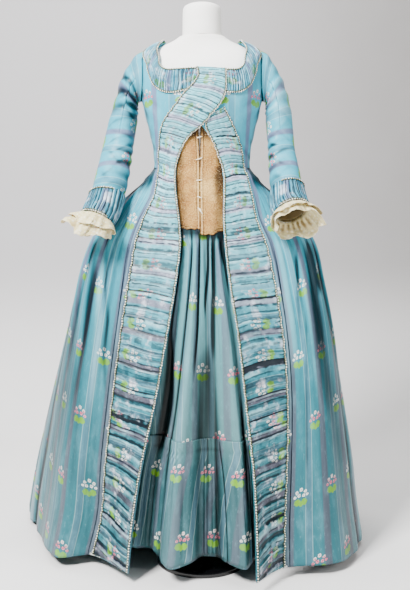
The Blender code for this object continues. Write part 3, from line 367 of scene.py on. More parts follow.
# Valleys of the petticoat's front: heights, the stations that the valley passes at them, its half width at
# them and its depth at them, from 0 to 1.
FRONT_VALLEYS = (
    ((0.3, 0.35, 0.45, 0.55, 0.62, 0.74, 0.86), (-0.9, -0.86, -0.86, -0.97, -1.05, -1.06, -1.04),
     (0.1, 0.13, 0.16, 0.09, 0.05, 0.05, 0.05), (0.0, 0.95, 1.0, 1.0, 0.9, 0.85, 0.85)),
    ((0.48, 0.55, 0.63, 0.68, 0.8, 0.87), (-0.2, -0.2, -0.16, -0.15, -0.13, -0.13),
     (0.03, 0.04, 0.045, 0.05, 0.06, 0.06), (0.0, 0.7, 1.0, 1.0, 1.0, 0.9)),
    ((0.62, 0.7, 0.78, 0.87), (0.12, 0.13, 0.29, 0.32), (0.04, 0.07, 0.08, 0.1), (0.0, 0.9, 1.0, 1.0)),
    ((0.54, 0.62, 0.68, 0.74, 0.87), (0.34, 0.37, 0.42, 0.5, 0.62), (0.1, 0.1, 0.11, 0.12, 0.13),
     (0.45, 0.95, 1.0, 1.0, 1.0)),
    ((0.66, 0.78, 0.82, 0.87), (1.02, 1.03, 0.98, 0.92), (0.05, 0.05, 0.12, 0.18),
     (0.0, 0.9, 0.9, 0.9)),
    ((0.3, 0.36, 0.45, 0.55, 0.64), (0.1, 0.1, 0.11, 0.12, 0.16), (0.27, 0.28, 0.27, 0.24, 0.14),
     (0.35, 0.55, 0.6, 0.55, 0.0)),
    ((0.04, 0.14, 0.25, 0.38, 0.46), (1.02, 0.98, 0.9, 0.95, 1.0), (0.15, 0.14, 0.09, 0.06, 0.04),
     (0.9, 0.9, 0.9, 0.9, 0.3)),
    ((0.04, 0.12, 0.24, 0.34, 0.36), (0.49, 0.48, 0.46, 0.41, 0.4),
     (0.014, 0.014, 0.016, 0.018, 0.018), (0.8, 0.9, 0.9, 0.7, 0.0)),
    ((0.04, 0.12, 0.23, 0.27), (0.41, 0.335, 0.31, 0.31), (0.014, 0.013, 0.013, 0.013),
     (0.6, 0.7, 0.7, 0.0)),
    ((0.06, 0.1, 0.2, 0.26), (-0.25, -0.26, -0.27, -0.27), 0.015, (0.0, 0.45, 0.45, 0.0)),
    ((0.03, 0.2, 0.31, 0.34), (0.14, 0.12, 0.1, 0.1), (0.2, 0.22, 0.26, 0.26), (0.15, 0.32, 0.4, 0.35)),
    ((0.03, 0.2, 0.34), (-0.62, -0.56, -0.6), (0.05, 0.05, 0.04), (0.5, 0.6, 0.7)),
)

# Each stretch of lacing that shows: x and z of its two ends.
LACING = ((-0.012, 1.108, -0.0005, 1.112), (-0.0145, 1.053, -0.003, 1.056),
          (-0.004, 1.056, 0.0005, 1.059), (-0.0135, 1.0, 0.0, 1.001),
          (-0.012, 0.959, 0.0, 0.955), (-0.012, 0.931, 0.002, 0.915),
          (-0.0065, 0.929, 0.0, 0.916))

LACE_RADIUS, LACE_LIFT, LACE_BOW = 0.0012, 0.0016, 0.0022

# The gimp: its radius and how much its loops add, and how far in from the edge and out from the cloth its
# picots and its core lie.
PICOT_RADIUS, PICOT_LOOP = 0.0010, 0.0015
PICOT_PLACE = (0.0016, 0.0026)
CORE_PLACE = (0.0044, 0.0030)
CORE_RADIUS, CORE_STEP = 0.0008, 0.006

# The studio: the sweep's half size, its bend and its wall, each light's place, target, size and power, and
# the camera, its lens and shift in the picture's pixels.
SWEEP_HALF = 6.0
SWEEP_RADIUS = 1.2
WALL_Y = 2.2
LIGHTS = (
    ("key_light", (-1.5, -2.3, 2.9), (0.0, 0.0, 0.95), (0.8, 0.8), 385.0),
    ("fill_light", (2.7, -1.8, 1.9), (0.0, 0.0, 0.8), (1.0, 1.6), 44.0),
    ("top_light", (0.0, -0.2, 3.4), (0.0, 0.1, 0.0), (2.6, 2.0), 80.0),
    ("wall_light", (-0.9, 0.7, 3.2), (-0.6, WALL_Y, 1.2), (2.4, 1.0), 22.0),
)
CAMERA_PLACE = (0.0, -2.14, 0.877)
PICTURE_HEIGHT = 590.0
FOCAL_PIXELS = 807.0
SHIFT_PIXELS = (3.0, -66.0)

# The silk's stripes and sprigs, in metres of cloth: petals as x, y and radius, leaves as x, y and
# their two radii.
STRIPE = 0.104
PICOT = 0.0072
SPRIG_ROW = 0.345
FLORETS = ((-0.011, 0.015, 0.0043), (0.001, 0.02, 0.0045), (0.013, 0.014, 0.0043),
           (-0.005, 0.0062, 0.0042), (0.008, 0.005, 0.0041), (-0.0165, 0.0045, 0.0036),
           (0.0185, 0.005, 0.0034))
LEAVES = ((-0.0095, -0.01, 0.0092, 0.0085), (0.0095, -0.0115, 0.0088, 0.0085),
          (0.0005, -0.015, 0.006, 0.007))


# ---- curves and surfaces, as arrays

def curve(keys, values, at):
    """Cubic through the values, with the slope at a key taken from its neighbours, and flat ends."""
    keys = np.asarray(keys, float)
    values = np.asarray(values, float)
    at = np.clip(np.asarray(at, float), keys[0], keys[-1])
    place = np.arange(len(keys))
    low = np.maximum(place - 1, 0)
    high = np.minimum(place + 1, len(keys) - 1)
    slopes = (values[high] - values[low]) / (keys[high] - keys[low])
    i = np.clip(np.searchsorted(keys, at, side="right") - 1, 0, len(keys) - 2)
    span = keys[i + 1] - keys[i]
    f = (at - keys[i]) / span
    here = values[i] + (values[i + 1] - values[i]) * f * f * (3 - 2 * f)
    return here + slopes[i] * span * f * (1 - f) ** 2 - slopes[i + 1] * span * f * f * (1 - f)


def look_up(rows, columns, name, at):
    """A smooth value of one named column, by the first column."""
    ordered = sorted(rows)
    k = columns.index(name)
    return curve([row[0] for row in ordered], [row[k] for row in ordered], at)


def column(rows, k, at):
    """A smooth value of column k by the row's number."""
    return curve(range(len(rows)), [row[k] for row in rows], at)


def ease(f):
    f = np.clip(f, 0.0, 1.0)
    return f * f * (3 - 2 * f)


def rise(x, start, width):
    """0 up to start, and 1 from a width past it."""
    return ease((x - start) / width)


def fall(x, end, width):
    """1 until a width before end, and 0 from there on."""
    return ease((end - x) / width)


def mix(a, b, f):
    return a + (b - a) * f


def bell(x, middle, width):
    """A soft hump, 1 high at its middle."""
    return np.exp(-((x - middle) / width) ** 2)


def signed_power(value, power):
    return np.sign(value) * np.abs(value) ** power


def points_of(x, y, z):
    return np.stack(np.broadcast_arrays(x, y, z), axis=-1).astype(float)


def unit(v):
    return v / np.maximum(np.linalg.norm(v, axis=-1, keepdims=True), 1e-12)


def mirror(side, p):
    return p * np.array((side, 1.0, 1.0))


def torso_skin(u, z):
    """Points of the form's skin at angles from the centre front (degrees) and heights."""
    s = sin(np.radians(u))
    c = cos(np.radians(u))
    half = look_up(BODY, BODY_COLUMNS, "half_width", z)
    depth = np.where(c > 0, look_up(BODY, BODY_COLUMNS, "front", z), look_up(BODY, BODY_COLUMNS, "back", z))
    power = 2 / ROUNDNESS
    return points_of(half * signed_power(s, power), -depth * signed_power(c, power), z)


def torso(u, z, off=0.0):
    """Points off the form's skin by off, square to it."""
    across = torso_skin(u + 1.5, z) - torso_skin(u - 1.5, z)
    up = torso_skin(u, z + 0.003) - torso_skin(u, z - 0.003)
    return torso_skin(u, z) + unit(np.cross(across, up)) * np.asarray(off)[..., None]


def angle_at(x, z):
    """Angle from the centre front of the skin's points at x."""
    half = look_up(BODY, BODY_COLUMNS, "half_width", z)
    s = np.minimum(np.abs(x) / half, 1.0) ** (ROUNDNESS / 2)
    return np.degrees(np.arcsin(s)) * np.sign(x)


def sack_fall(u, z):
    """How far the free back hangs behind the body."""
    return look_up(SACK, SACK_COLUMNS, "fall", z) * rise(u, SACK_ANGLE, SACK_SPREAD)


def skirt_knots(side, z):
    """Knots (x, y) of the gown's half section, from t = 0 at the front edge to t = 6 behind."""
    table = SKIRTS[side]
    row = {name: look_up(table, SKIRT_COLUMNS, name, z) for name in SKIRT_COLUMNS[1:]}
    knots = [(row[a + "_x"], row[a + "_y"]) for a in ("edge", "robing", "front", "side", "corner")]
    back = look_up(DEPTH, DEPTH_COLUMNS, "back", z)
    corner = knots[-1]
    knots.append((corner[0] * 0.55, mix(corner[1], back, 0.76)))
    knots.append((0.0 * back, back))
    return knots


def petticoat_knots(side, z):
    """Knots of the petticoat's half section, from t = -1 at the centre front to t = 6 behind."""
    gown = skirt_knots(side, z)
    inset = look_up(DEPTH, DEPTH_COLUMNS, "inset", z)
    gap = look_up(DEPTH, DEPTH_COLUMNS, "side_inset", z)
    front = look_up(DEPTH, DEPTH_COLUMNS, "petticoat", z)
    knots = [(0.0 * front, -front), (gown[0][0] * 0.94, np.maximum(gown[0][1] + inset, -front * 0.97))]
    for (x, y), (inwards, back) in zip(gown[1:], PETTICOAT_INSETS):
        knots.append((x - gap * inwards, y + gap * back))
    return knots


def waist_angle(side, t, z):
    """Angle on the body of the station t, from 0 at the front edge (-1 at the middle) to 6 behind."""
    t, z = np.broadcast_arrays(t, z)
    edge = EDGE_AT_WAIST[side]
    outer = ROBING_AT_WAIST[side]
    middle = angle_at(edge * np.clip(t + 1, 0, 1), z)
    front = angle_at(mix(edge, outer, np.clip(t, 0, 1)), z)
    angles = np.stack([angle_at(outer, z)] + [np.full(z.shape, k) for k in KNOT_ANGLES])
    i = np.clip(np.floor(t - 1).astype(int), 0, len(angles) - 2)
    here = np.take_along_axis(angles, i[None], 0)[0]
    after = np.take_along_axis(angles, i[None] + 1, 0)[0]
    return np.where(t < 0, middle, np.where(t < 1, front, mix(here, after, t - 1 - i)))


def along(knots, t, first):
    """Smooth points of a chain of knots, numbered from first, square to the middle at its ends."""
    if first < 0:
        start = (-knots[1][0], knots[1][1])
    else:
        start = tuple(2 * a - b for a, b in zip(knots[0], knots[1]))
    chain = [start] + list(knots) + [(-knots[-2][0], knots[-2][1])]
    place = np.clip(t - first, 0.0, len(knots) - 1.0001)
    shape = np.broadcast(place, knots[0][0]).shape
    place = np.broadcast_to(place, shape)
    i = place.astype(int)
    f = place - i
    result = []
    for axis in (0, 1):
        values = np.stack([np.broadcast_to(k[axis], shape) for k in chain])
        p0, p1, p2, p3 = (np.take_along_axis(values, i[None] + k, 0)[0] for k in range(4))
        m1 = (p2 - p0) / 2
        m2 = (p3 - p1) / 2
        result.append(p1 + (p2 - p1) * ease(f) + m1 * f * (1 - f) ** 2 - m2 * f * f * (1 - f))
    return result


def section_points(knots, side, t, z, first, off):
    x, y = along(knots, t, first)
    xa, ya = along(knots, t - 0.03, first)
    xb, yb = along(knots, t + 0.03, first)
    run = np.hypot(xb - xa, yb - ya)
    return points_of(side * (x + off * (yb - ya) / run), y - off * (xb - xa) / run, z)


def meet_waist(side, t, z, low, off, behind):
    """Blend a skirt's points into the body's skin from the skirt's top up to the waist."""
    u = waist_angle(side, t, np.minimum(z, WAIST))
    high = torso(u, z, off)
    if behind:
        high[..., 1] += sack_fall(u, z)
    f = rise(z, SKIRT_TOP, WAIST - SKIRT_TOP)
    return mix(low, mirror(side, high), np.broadcast_to(f, low.shape[:-1])[..., None])


def gown_skirt(side, t, z, off=0.0):
    """Outer face of the gown below the waist, moved out by off."""
    z = np.asarray(z, float)
    low = section_points(skirt_knots(side, np.minimum(z, SKIRT_TOP)), side, t, z, 0, off)
    return meet_waist(side, t, z, low, GOWN_OFF + off, True)


def petticoat_base(side, t, z, off=0.0):
    """Outer face of the petticoat without its folds."""
    z = np.asarray(z, float)
    low = section_points(petticoat_knots(side, np.minimum(z, SKIRT_TOP)), side, t, z, -1, off)
    return meet_waist(side, t, z, low, PETTICOAT_OFF + off, False)


def wander(x, seed, slow=1.0):
    """A smooth line that never quite repeats, between about -1 and 1."""
    return (sin(x * 2.1 * slow + seed * 1.7) + 0.7 * sin(x * 4.7 * slow + seed * 3.1 + 1.0)
            + 0.5 * sin(x * 9.3 * slow + seed * 0.9 + 2.0)) / 2.2


def puffs(phase, sharp=0.55):
    """Rounded puffs with sharp creases between them, one for each unit of phase."""
    return np.abs(sin(pi * phase)) ** sharp


def columns_of(start, end, count):
    return np.linspace(start, end, count)[None]


def rows_of(start, end, count):
    return np.linspace(start, end, count)[:, None]


def joined_steps(*marks):
    """Numbers from each mark to the next, in as many even steps as that mark says."""
    runs = [np.linspace(start, after[0], count)[:-1] for (start, count), after in zip(marks, marks[1:])]
    return np.concatenate(runs + [[float(marks[-1][0])]])


def strides(p, axis=0):
    """Distances from each point to the next."""
    return np.linalg.norm(np.diff(p, axis=axis), axis=-1)


def arc_across(p):
    """Distance run along each row of points."""
    return np.concatenate([np.zeros((len(p), 1)), np.cumsum(strides(p, 1), axis=1)], axis=1)


def arc_up(p):
    return arc_across(p.swapaxes(0, 1)).swapaxes(0, 1)


# ---- making the pieces

def deselect():
    if bpy.context.object and bpy.context.object.mode != "OBJECT":
        bpy.ops.object.mode_set(mode="OBJECT")
    bpy.ops.object.select_all(action="DESELECT")


def set_uv(mesh, uv):
    """One UV for each vertex, in metres, before any vertices are merged."""
    corners = np.empty(len(mesh.loops), dtype=np.int32)
    mesh.loops.foreach_get("vertex_index", corners)
    layer = mesh.uv_layers.active or mesh.uv_layers.new(name="UVMap")
    layer.data.foreach_set("uv", uv[corners].astype(np.float32).ravel())


def sheet_mesh(name, points, u, v, mirrored, crease=None, gather=None):
    """A grid primitive laid over rows and columns of points, with its painted shading and its gathers as
    attributes.
    """
    crease = np.zeros(points.shape[:2]) if crease is None else np.broadcast_to(crease, points.shape[:2])
    gather = 0.0 * crease if gather is None else np.broadcast_to(gather, points.shape[:2])
    if mirrored:
        points, u, v, crease, gather = (a[:, ::-1] for a in (points, u, v, crease, gather))
    rows, columns = points.shape[:2]
    deselect()
    bpy.ops.mesh.primitive_grid_add(x_subdivisions=columns - 1, y_subdivisions=rows - 1, size=1.0)
    piece = bpy.context.object
    piece.name = piece.data.name = name
    if len(piece.data.vertices) != rows * columns:
        raise RuntimeError(f"{name} has {len(piece.data.vertices)} points, not {rows * columns}")
    piece.data.vertices.foreach_set("co", points.astype(np.float32).ravel())
    set_uv(piece.data, np.stack([u, v], axis=-1).reshape(-1, 2))
    for kind, values in (("crease", crease), ("gather", gather)):
        kept = piece.data.attributes.new(kind, "FLOAT", "POINT")
        kept.data.foreach_set("value", values.astype(np.float32).ravel())
    piece.data.update()
    return piece


def pick_out(piece):
    deselect()
    piece.select_set(True)
    bpy.context.view_layer.objects.active = piece


def merge_doubles(piece):
    pick_out(piece)
    bpy.ops.object.mode_set(mode="EDIT")
    bpy.ops.mesh.select_all(action="SELECT")
    bpy.ops.mesh.remove_doubles(threshold=0.00002)
    bpy.ops.object.mode_set(mode="OBJECT")


def thicken(piece, wall, outward):
    pick_out(piece)
    made = piece.modifiers.new("Wall", "SOLIDIFY")
    made.thickness = wall
    made.offset = 1.0 if outward else -1.0
    bpy.ops.object.modifier_apply(modifier=made.name)


def finish_piece(piece, look, nodes=()):
    """Give a piece its look and slot, its body and the nodes that it stands for."""
    piece.data.materials.clear()
    piece.data.materials.append(looks()[look])
    piece.data.shade_smooth()
    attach(piece, "root")
    if nodes:
        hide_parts(*nodes)


def cloth(name, sheet, look, held, rests_on, full=(1.0, 1.0), outward=False, tube=False, mirrored=False):
    """A thin sheet over rows (upwards) and columns (counterclockwise from above) of points.

    sheet holds the points, u, v, each point's painted shading, from -1 for a painted highlight on a ridge to
    1 for painted shade deep in a fold, and, if it is gathered, its place among the gathers, whole numbers
    being the folds between them; for a sleeve, this last is 1 where it is its lining that shows.
    full is how much wider and longer the cut piece is than the sheet that is gathered from it; it is not
    used.
    """
    sizes = bpy.context.scene.robe_sizes
    points, u, v, *kept = sheet
    u, v = np.broadcast_arrays(u, v)
    length = float(arc_up(points)[-1].max()) * full[1]
    piece = sheet_mesh(name, points, u, v, mirrored, *kept)
    if tube:
        merge_doubles(piece)
    thicken(piece, sizes.gauze if look == "cotton" else sizes.wall, outward)
    finish_piece(piece, look, [name.replace("_sheet", "")])


def turned(name, profile, steps, look, node):
    """A turned piece in place of a node: profile (radius, height) from the bottom up, closed on the axis."""
    angle = np.linspace(0, 2 * pi, steps + 1)
    r, z = (np.array(values)[:, None] for values in zip(*profile))
    points = points_of(r * cos(angle), r * sin(angle), z + 0 * angle)
    piece = sheet_mesh(name, points, angle[None] * 0.1 + 0 * z, z + 0 * angle, False)
    merge_doubles(piece)
    finish_piece(piece, look, [node])
    piece.data.set_sharp_from_angle(angle=np.radians(40))


# ---- looks

def tint(red, green, blue):
    """Linear colour of screen values from 0 to 255."""
    shares = (c / 255 for c in (red, green, blue))
    return tuple(c / 12.92 if c <= 0.04045 else ((c + 0.055) / 1.055) ** 2.4 for c in shares)


def chosen(name):
    """A colour of the panel."""
    return tuple(getattr(bpy.context.scene.robe_colours, name))


class Look:
    """A material and short calls for the nodes that are used here."""

    def __init__(self, name, roughness, sheen=0.0, metallic=0.0, coat=0.0):
        self.material = bpy.data.materials.new(name)
        self.material.use_nodes = True
        self.tree = self.material.node_tree
        self.shader = self.tree.nodes["Principled BSDF"]
        for socket, value in (("Roughness", roughness), ("Specular IOR Level", 0.18), ("Sheen Weight", sheen),
                              ("Sheen Roughness", 0.45), ("Metallic", metallic), ("Coat Weight", coat)):
            self.shader.inputs[socket].default_value = value

    def put(self, socket, value):
        if isinstance(value, bpy.types.NodeSocket):
            self.tree.links.new(value, socket)
        elif socket.type == "RGBA":
            socket.default_value = (*value, 1.0)
        else:
            socket.default_value = value

    def node(self, kind, values, **settings):
        made = self.tree.nodes.new(kind)
        for key, value in settings.items():
            setattr(made, key, value)
        for key, value in values.items():
            self.put(made.inputs[key], value)
        return made

    def maths(self, operation, *values):
        return self.node("ShaderNodeMath", dict(enumerate(values)), operation=operation).outputs[0]

    def times(self, a, b):
        return self.maths("MULTIPLY", a, b)

    def apart(self, a, b):
        return self.maths("ABSOLUTE", self.maths("SUBTRACT", a, b))

    def vector(self, operation, *values):
        made = self.node("ShaderNodeVectorMath", dict(enumerate(values)), operation=operation)
        return made.outputs["Value" if operation in ("LENGTH", "DISTANCE") else "Vector"]

    def mixed(self, factor, a, b, blend="MIX"):
        made = self.node("ShaderNodeMix", {}, data_type="RGBA", blend_type=blend)
        for k, value in ((0, factor), (6, a), (7, b)):
            self.put(made.inputs[k], value)
        return made.outputs[2]

    def step(self, value, low, high, to_low=0.0, to_high=1.0):
        made = self.node("ShaderNodeMapRange", {0: value, 1: low, 2: high, 3: to_low, 4: to_high},
                         interpolation_type="SMOOTHSTEP")
        return made.outputs[0]

    def veil(self, colour, value, span, shade, blend="MIX"):
        """The colour under a shade, span being two values and how much of the shade there is at each."""
        return self.mixed(self.step(value, *span), colour, shade, blend)

    def ramp(self, value, stops):
        made = self.node("ShaderNodeValToRGB", {0: value})
        band = made.color_ramp
        while len(band.elements) < len(stops):
            band.elements.new(0.5)
        for element, (place, colour) in zip(band.elements, stops):
            element.position = place
            element.color = (*colour, 1.0)
        return made.outputs[0]

    def place(self, kind="Object"):
        return self.node("ShaderNodeTexCoord", {}).outputs[kind]

    def split(self, vector):
        return self.node("ShaderNodeSeparateXYZ", {0: vector}).outputs

    def joined(self, *parts):
        return self.node("ShaderNodeCombineXYZ", dict(enumerate(parts))).outputs[0]

    def kept(self, name):
        """A value that the sheet's mesh keeps for each of its points."""
        return self.node("ShaderNodeAttribute", {}, attribute_name=name).outputs["Fac"]

    def chance(self, dimensions, **where):
        return self.node("ShaderNodeTexWhiteNoise", where, noise_dimensions=dimensions).outputs

    def noise(self, vector, scale, stretch=(1.0, 1.0, 1.0), detail=3.0, roughness=0.55):
        spread = self.vector("MULTIPLY", vector, stretch)
        made = self.node("ShaderNodeTexNoise", {"Vector": spread, "Scale": scale, "Detail": detail,
                                                "Roughness": roughness})
        return made.outputs[0]

    def bump(self, height, distance, strength=1.0, under=None):
        values = {"Height": height, "Distance": distance, "Strength": strength}
        if under is not None:
            values["Normal"] = under
        return self.node("ShaderNodeBump", values).outputs[0]

    def folded(self, colour, dark, light=(1.0, 1.0, 1.0), deep=0.75, bright=0.25):
        """The colour with painted shade in folds and painted highlights along ridges, from the sheet's
        painted shading.
        """
        crease = self.kept("crease")
        colour = self.veil(colour, crease, (0.0, 1.0, 0.0, deep), dark, "MULTIPLY")
        return self.veil(colour, crease, (-1.0, 0.0, bright, 0.0), light)

    def done(self, colour, normal=None, roughness=None):
        for socket, value in (("Base Color", colour), ("Normal", normal), ("Roughness", roughness)):
            if value is not None:
                self.put(self.shader.inputs[socket], value)
        return self.material


def nearest(look, distances):
    """The least of several distances."""
    least = None
    for near in distances:
        least = near if least is None else look.maths("MINIMUM", least, near)
    return least


def sprigs(look, across, up):
    """Masks of the brocaded sprigs: petals, their dark hearts, leaves, and a number for each sprig."""
    pitch = STRIPE / 2
    columns = look.maths("DIVIDE", across, pitch)
    number = look.maths("FLOOR", columns)
    drop = look.times(look.maths("FLOORED_MODULO", number, 2.0), 0.5)
    rows = look.maths("ADD", look.maths("DIVIDE", up, SPRIG_ROW), drop)
    chance = look.chance("3D", Vector=look.joined(number, look.maths("FLOOR", rows)))
    shift = look.vector("MULTIPLY_ADD", chance["Color"], (0.006, 0.022, 0.0), (-0.003, -0.011, 0.0))
    x = look.maths("MULTIPLY_ADD", look.maths("FRACT", columns), pitch, -pitch / 2)
    y = look.maths("MULTIPLY_ADD", look.maths("FRACT", rows), SPRIG_ROW, -SPRIG_ROW / 2)
    here = look.vector("ADD", look.joined(x, y), shift)
    ragged = look.node("ShaderNodeTexNoise", {"Vector": here, "Scale": 220.0, "Detail": 1.0}).outputs["Color"]
    here = look.vector("ADD", here, look.vector("MULTIPLY_ADD", ragged, (0.004,) * 3, (-0.002,) * 3))
    petals = nearest(look, [look.maths("DIVIDE", look.vector("DISTANCE", here, (x, y, 0.0)), radius)
                            for x, y, radius in FLORETS])
    leaves = nearest(look, [look.vector("LENGTH", look.vector("MULTIPLY_ADD", here, (1 / rx, 1 / ry, 0.0),
                                                              (-x / rx, -y / ry, 0.0)))
                            for x, y, rx, ry in LEAVES])
    return (look.step(petals, 0.95, 1.15, 1.0, 0.0), look.step(petals, 0.24, 0.50, 1.0, 0.0),
            look.step(leaves, 0.85, 1.1, 1.0, 0.0), chance["Value"], look.split(here)[1])


def striped_ground(look, name, across, striped):
    """Turquoise silk with mauve stripes between pairs of thin lines, paler towards the top."""
    trim = name.startswith("gathered")
    height = look.split(look.place())[2]
    kinds = ("silk_low", "trim_middle", "trim_high") if trim else ("silk_low", "silk_middle", "silk_high")
    low, middle, high = (chosen(kind) for kind in kinds)
    # Paler higher up, partly the silk's own colour and partly painted light from above.
    level = look.step(height, 0.15, 1.25)
    ground = look.ramp(level, ((0.0, low), (0.45, middle), (1.0, high)))
    # The petticoat's ground is greyed, and darkened with painted shade towards the hem and most on the
    # flounce.
    if name == "petticoat_silk":
        ground = look.mixed(0.36, ground, tint(120, 142, 132))
        ground = look.veil(ground, height, (0.27, 0.36, 0.75, 0.0), tint(132, 178, 190), "MULTIPLY")
        ground = look.veil(ground, height, (0.15, 0.75, 0.45, 0.0), tint(176, 196, 196), "MULTIPLY")
    mauve_low = chosen("mauve_low")
    mauve_high = tint(176, 168, 196) if trim else chosen("mauve_high")
    mauve = look.ramp(level, ((0.0, mauve_low), (0.30, mauve_low), (1.0, mauve_high)))
    between = look.mixed(0.55, ground, tint(84, 112, 132))
    place = look.maths("FRACT", look.maths("ADD", look.maths("DIVIDE", across, STRIPE), 1000.0))
    from_middle = look.apart(place, 0.5)
    near_mauve = look.maths("ADD", from_middle, look.step(height, 0.80, 0.95, 0.03, 0.0))
    stripe = look.veil(ground, near_mauve, (0.395, 0.452, 0.0, striped), mauve)
    stripe = look.veil(stripe, from_middle, (0.070, 0.084, 0.75, 0.0), between)
    return look.veil(stripe, look.apart(from_middle, 0.088), (0.005, 0.014, 0.32, 0.0), chosen("line"))


def brocaded(look, ground, uv, masks):
    """The ground with its pink or white flowers, their hearts and their leaves."""
    white, pink, shade, leaf = map(chosen, ("petal_white", "petal_pink", "petal_shade", "leaf"))
    petals, hearts, leaves, chance, high = masks
    pick = look.times(look.maths("GREATER_THAN", chance, 0.50), look.step(high, 0.011, 0.018, 1.0, 0.15))
    petal = look.mixed(pick, white, pink)
    petal = look.veil(petal, look.noise(uv, 260.0), (0.48, 0.66, 0.0, 0.45), look.mixed(pick, shade, white))
    petal = look.mixed(look.times(hearts, 0.85), petal, tint(92, 58, 40))
    leaf = look.veil(leaf, look.noise(uv, 240.0), (0.5, 0.7, 0.0, 0.5), tint(96, 150, 40))
    ground = look.mixed(look.times(leaves, 0.9), ground, leaf)
    return look.mixed(look.times(petals, 0.88), ground, petal)


def silk(name, striped=0.85, glint=0.16, crumple=0.30):
    """Striped and sprigged silk. UVs are metres of cloth: u across the stripes and v along them.

    striped is how strongly the mauve shows, and glint how strong the painted highlights, painted glints and
    painted shade over the silk are.
    """
    look = Look(name, 0.34)
    uv = look.place("UV")
    spot = look.place()
    across, up, _ = look.split(uv)
    masks = sprigs(look, across, up)
    colour = brocaded(look, striped_ground(look, name, across, striped), uv, masks)
    # Tints of the painted highlights and of the painted shade.
    bright, painted_shade_tint = tint(150, 216, 232), tint(96, 120, 130)
    streaks = look.noise(uv, 60.0, (9.0, 0.35, 1.0), 4.0)
    colour = look.veil(colour, streaks, (0.25, 0.75, 0.0, 0.14), tint(235, 245, 245), "SOFT_LIGHT")
    # Broad areas of painted shade.
    painted_patches = look.noise(spot, 7.0, (1.0, 1.0, 0.6), 4.0)
    colour = look.veil(colour, painted_patches, (0.35, 0.7, 0.0, 0.20), tint(60, 96, 104), "MULTIPLY")
    # Painted highlights and painted shade in broad areas, as where the silk would catch or miss the light.
    painted_sheen = look.noise(spot, 26.0, (1.0, 1.0, 0.45) if glint < 0.4 else (0.8, 0.8, 1.6), 4.0, 0.6)
    colour = look.veil(colour, painted_sheen, (0.50, 0.74, 0.0, glint * 0.8), bright)
    colour = look.veil(colour, painted_sheen, (0.28, 0.46, glint, 0.0), painted_shade_tint, "MULTIPLY")
    # Fine painted glints, with painted shade between them.
    painted_glints = look.noise(uv, 130.0, (1.0, 0.4, 1.0), 5.0, 0.7)
    colour = look.veil(colour, painted_glints, (0.55, 0.70, 0.0, glint * 0.7), tint(170, 226, 238))
    colour = look.veil(colour, painted_glints, (0.32, 0.45, glint * 0.5, 0.0), painted_shade_tint, "MULTIPLY")
    # Painted shade in folds and painted highlights on ridges, from the sheet's painted shading; darker on the
    # petticoat.
    depths = tint(12, 26, 28) if name == "petticoat_silk" else tint(32, 58, 64)
    colour = look.folded(colour, depths, tint(176, 230, 242), 0.97, glint + 0.12)
    if name.startswith("gathered"):
        fine = name == "gathered_fine_silk"
        colour = look.mixed(0.85 if fine else 0.0, colour, tint(122, 168, 190), "MULTIPLY")
        colour = gathered(look, colour, uv, fine)
    elif name == "turquoise_silk":
        colour = look.veil(colour, look.kept("gather"), (0.3, 0.7), tint(140, 122, 88))
    normal = look.bump(look.noise(uv, 900.0, (1.6, 0.5, 1.0), 2.0), 0.0003, 0.35)
    normal = look.bump(look.noise(uv, 34.0, (1.0, 0.30, 1.0), 3.0, 0.5), 0.006, crumple, normal)
    normal = look.bump(look.maths("MAXIMUM", masks[0], masks[2]), 0.0006, 0.6, normal)
    return look.done(colour, normal, look.step(look.noise(uv, 500.0), 0.3, 0.7, 0.32, 0.44))


def gathered(look, colour, uv, fine):
    """The colour of a gathered band: painted shade at each cushion's start and a painted highlight at its
    crest, broad painted shade and highlights, and thin lines of painted shade in its folds.

    fine is for the narrow collars and cuffs, which are drawn up more tightly than the robings.
    """
    dark, light, wider = (0.95, 0.62, 1.6) if fine else (0.52, 0.42, 1.15)
    gather = look.kept("gather")
    lane = look.times(look.split(uv)[1], 15.0)
    jag = look.maths("SUBTRACT", look.noise(uv, 120.0, (1.0, 0.5, 1.0), 3.0), 0.5)
    bent = look.maths("MULTIPLY_ADD", jag, 0.18, gather)
    number = look.maths("FLOOR", bent)
    part = look.maths("SUBTRACT", bent, number)
    where = look.joined(number, look.times(lane, 1.7), 5.0)
    uneven = look.step(look.noise(where, 0.9, detail=1.0), 0.38, 0.66, 0.0, 1.0)
    # Painted shade after each fold and a painted highlight on each cushion's crest, stronger on some
    # cushions.
    shade = look.times(look.step(part, 0.02, 0.46, dark, 0.0), uneven)
    colour = look.mixed(shade, colour, tint(46, 78, 94), "MULTIPLY")
    crest = look.times(look.step(look.apart(part, 0.74), 0.0, 0.19, light, 0.0), uneven)
    colour = look.mixed(crest, colour, tint(190, 240, 248))
    # Broad areas of painted shade.
    painted_patches = look.noise(uv, 26.0, (0.8, 1.3, 1.0), 4.0, 0.65)
    colour = look.veil(colour, painted_patches, (0.32, 0.50, 0.55, 0.0), tint(60, 110, 126), "MULTIPLY")
    # The robings get painted light higher up.
    if not fine:
        height = look.split(look.place())[2]
        colour = look.veil(colour, height, (0.50, 0.85, 0.0, 0.14), tint(176, 228, 240))
    # Broad painted highlights.
    colour = look.veil(colour, painted_patches, (0.53, 0.70, 0.0, 0.58), tint(222, 226, 240))
    # Thin lines of painted shade in the folds, in two sets, broken here and there.
    for times, width, depth, seed in ((1.0, 0.12 * wider, 1.0, 3.0), (2.37, 0.16 * wider, 0.85, 11.0)):
        phase = look.maths("MULTIPLY_ADD", gather, times, look.times(jag, 0.22 * times))
        line = look.maths("ROUND", phase)
        near = look.apart(phase, line)
        chance = look.chance("1D", W=look.maths("ADD", line, seed))["Value"]
        here = look.joined(line, look.times(lane, times), seed)
        broken = look.step(look.noise(here, 1.0, detail=1.0), 0.26 + 0.06 * times, 0.36 + 0.06 * times)
        strength = look.times(broken, look.step(chance, 0.0, 1.0, 0.55, 1.0))
        fold = look.times(look.step(near, width * 0.6, width, depth, 0.0), strength)
        colour = look.mixed(fold, colour, tint(8, 20, 28))
    return colour


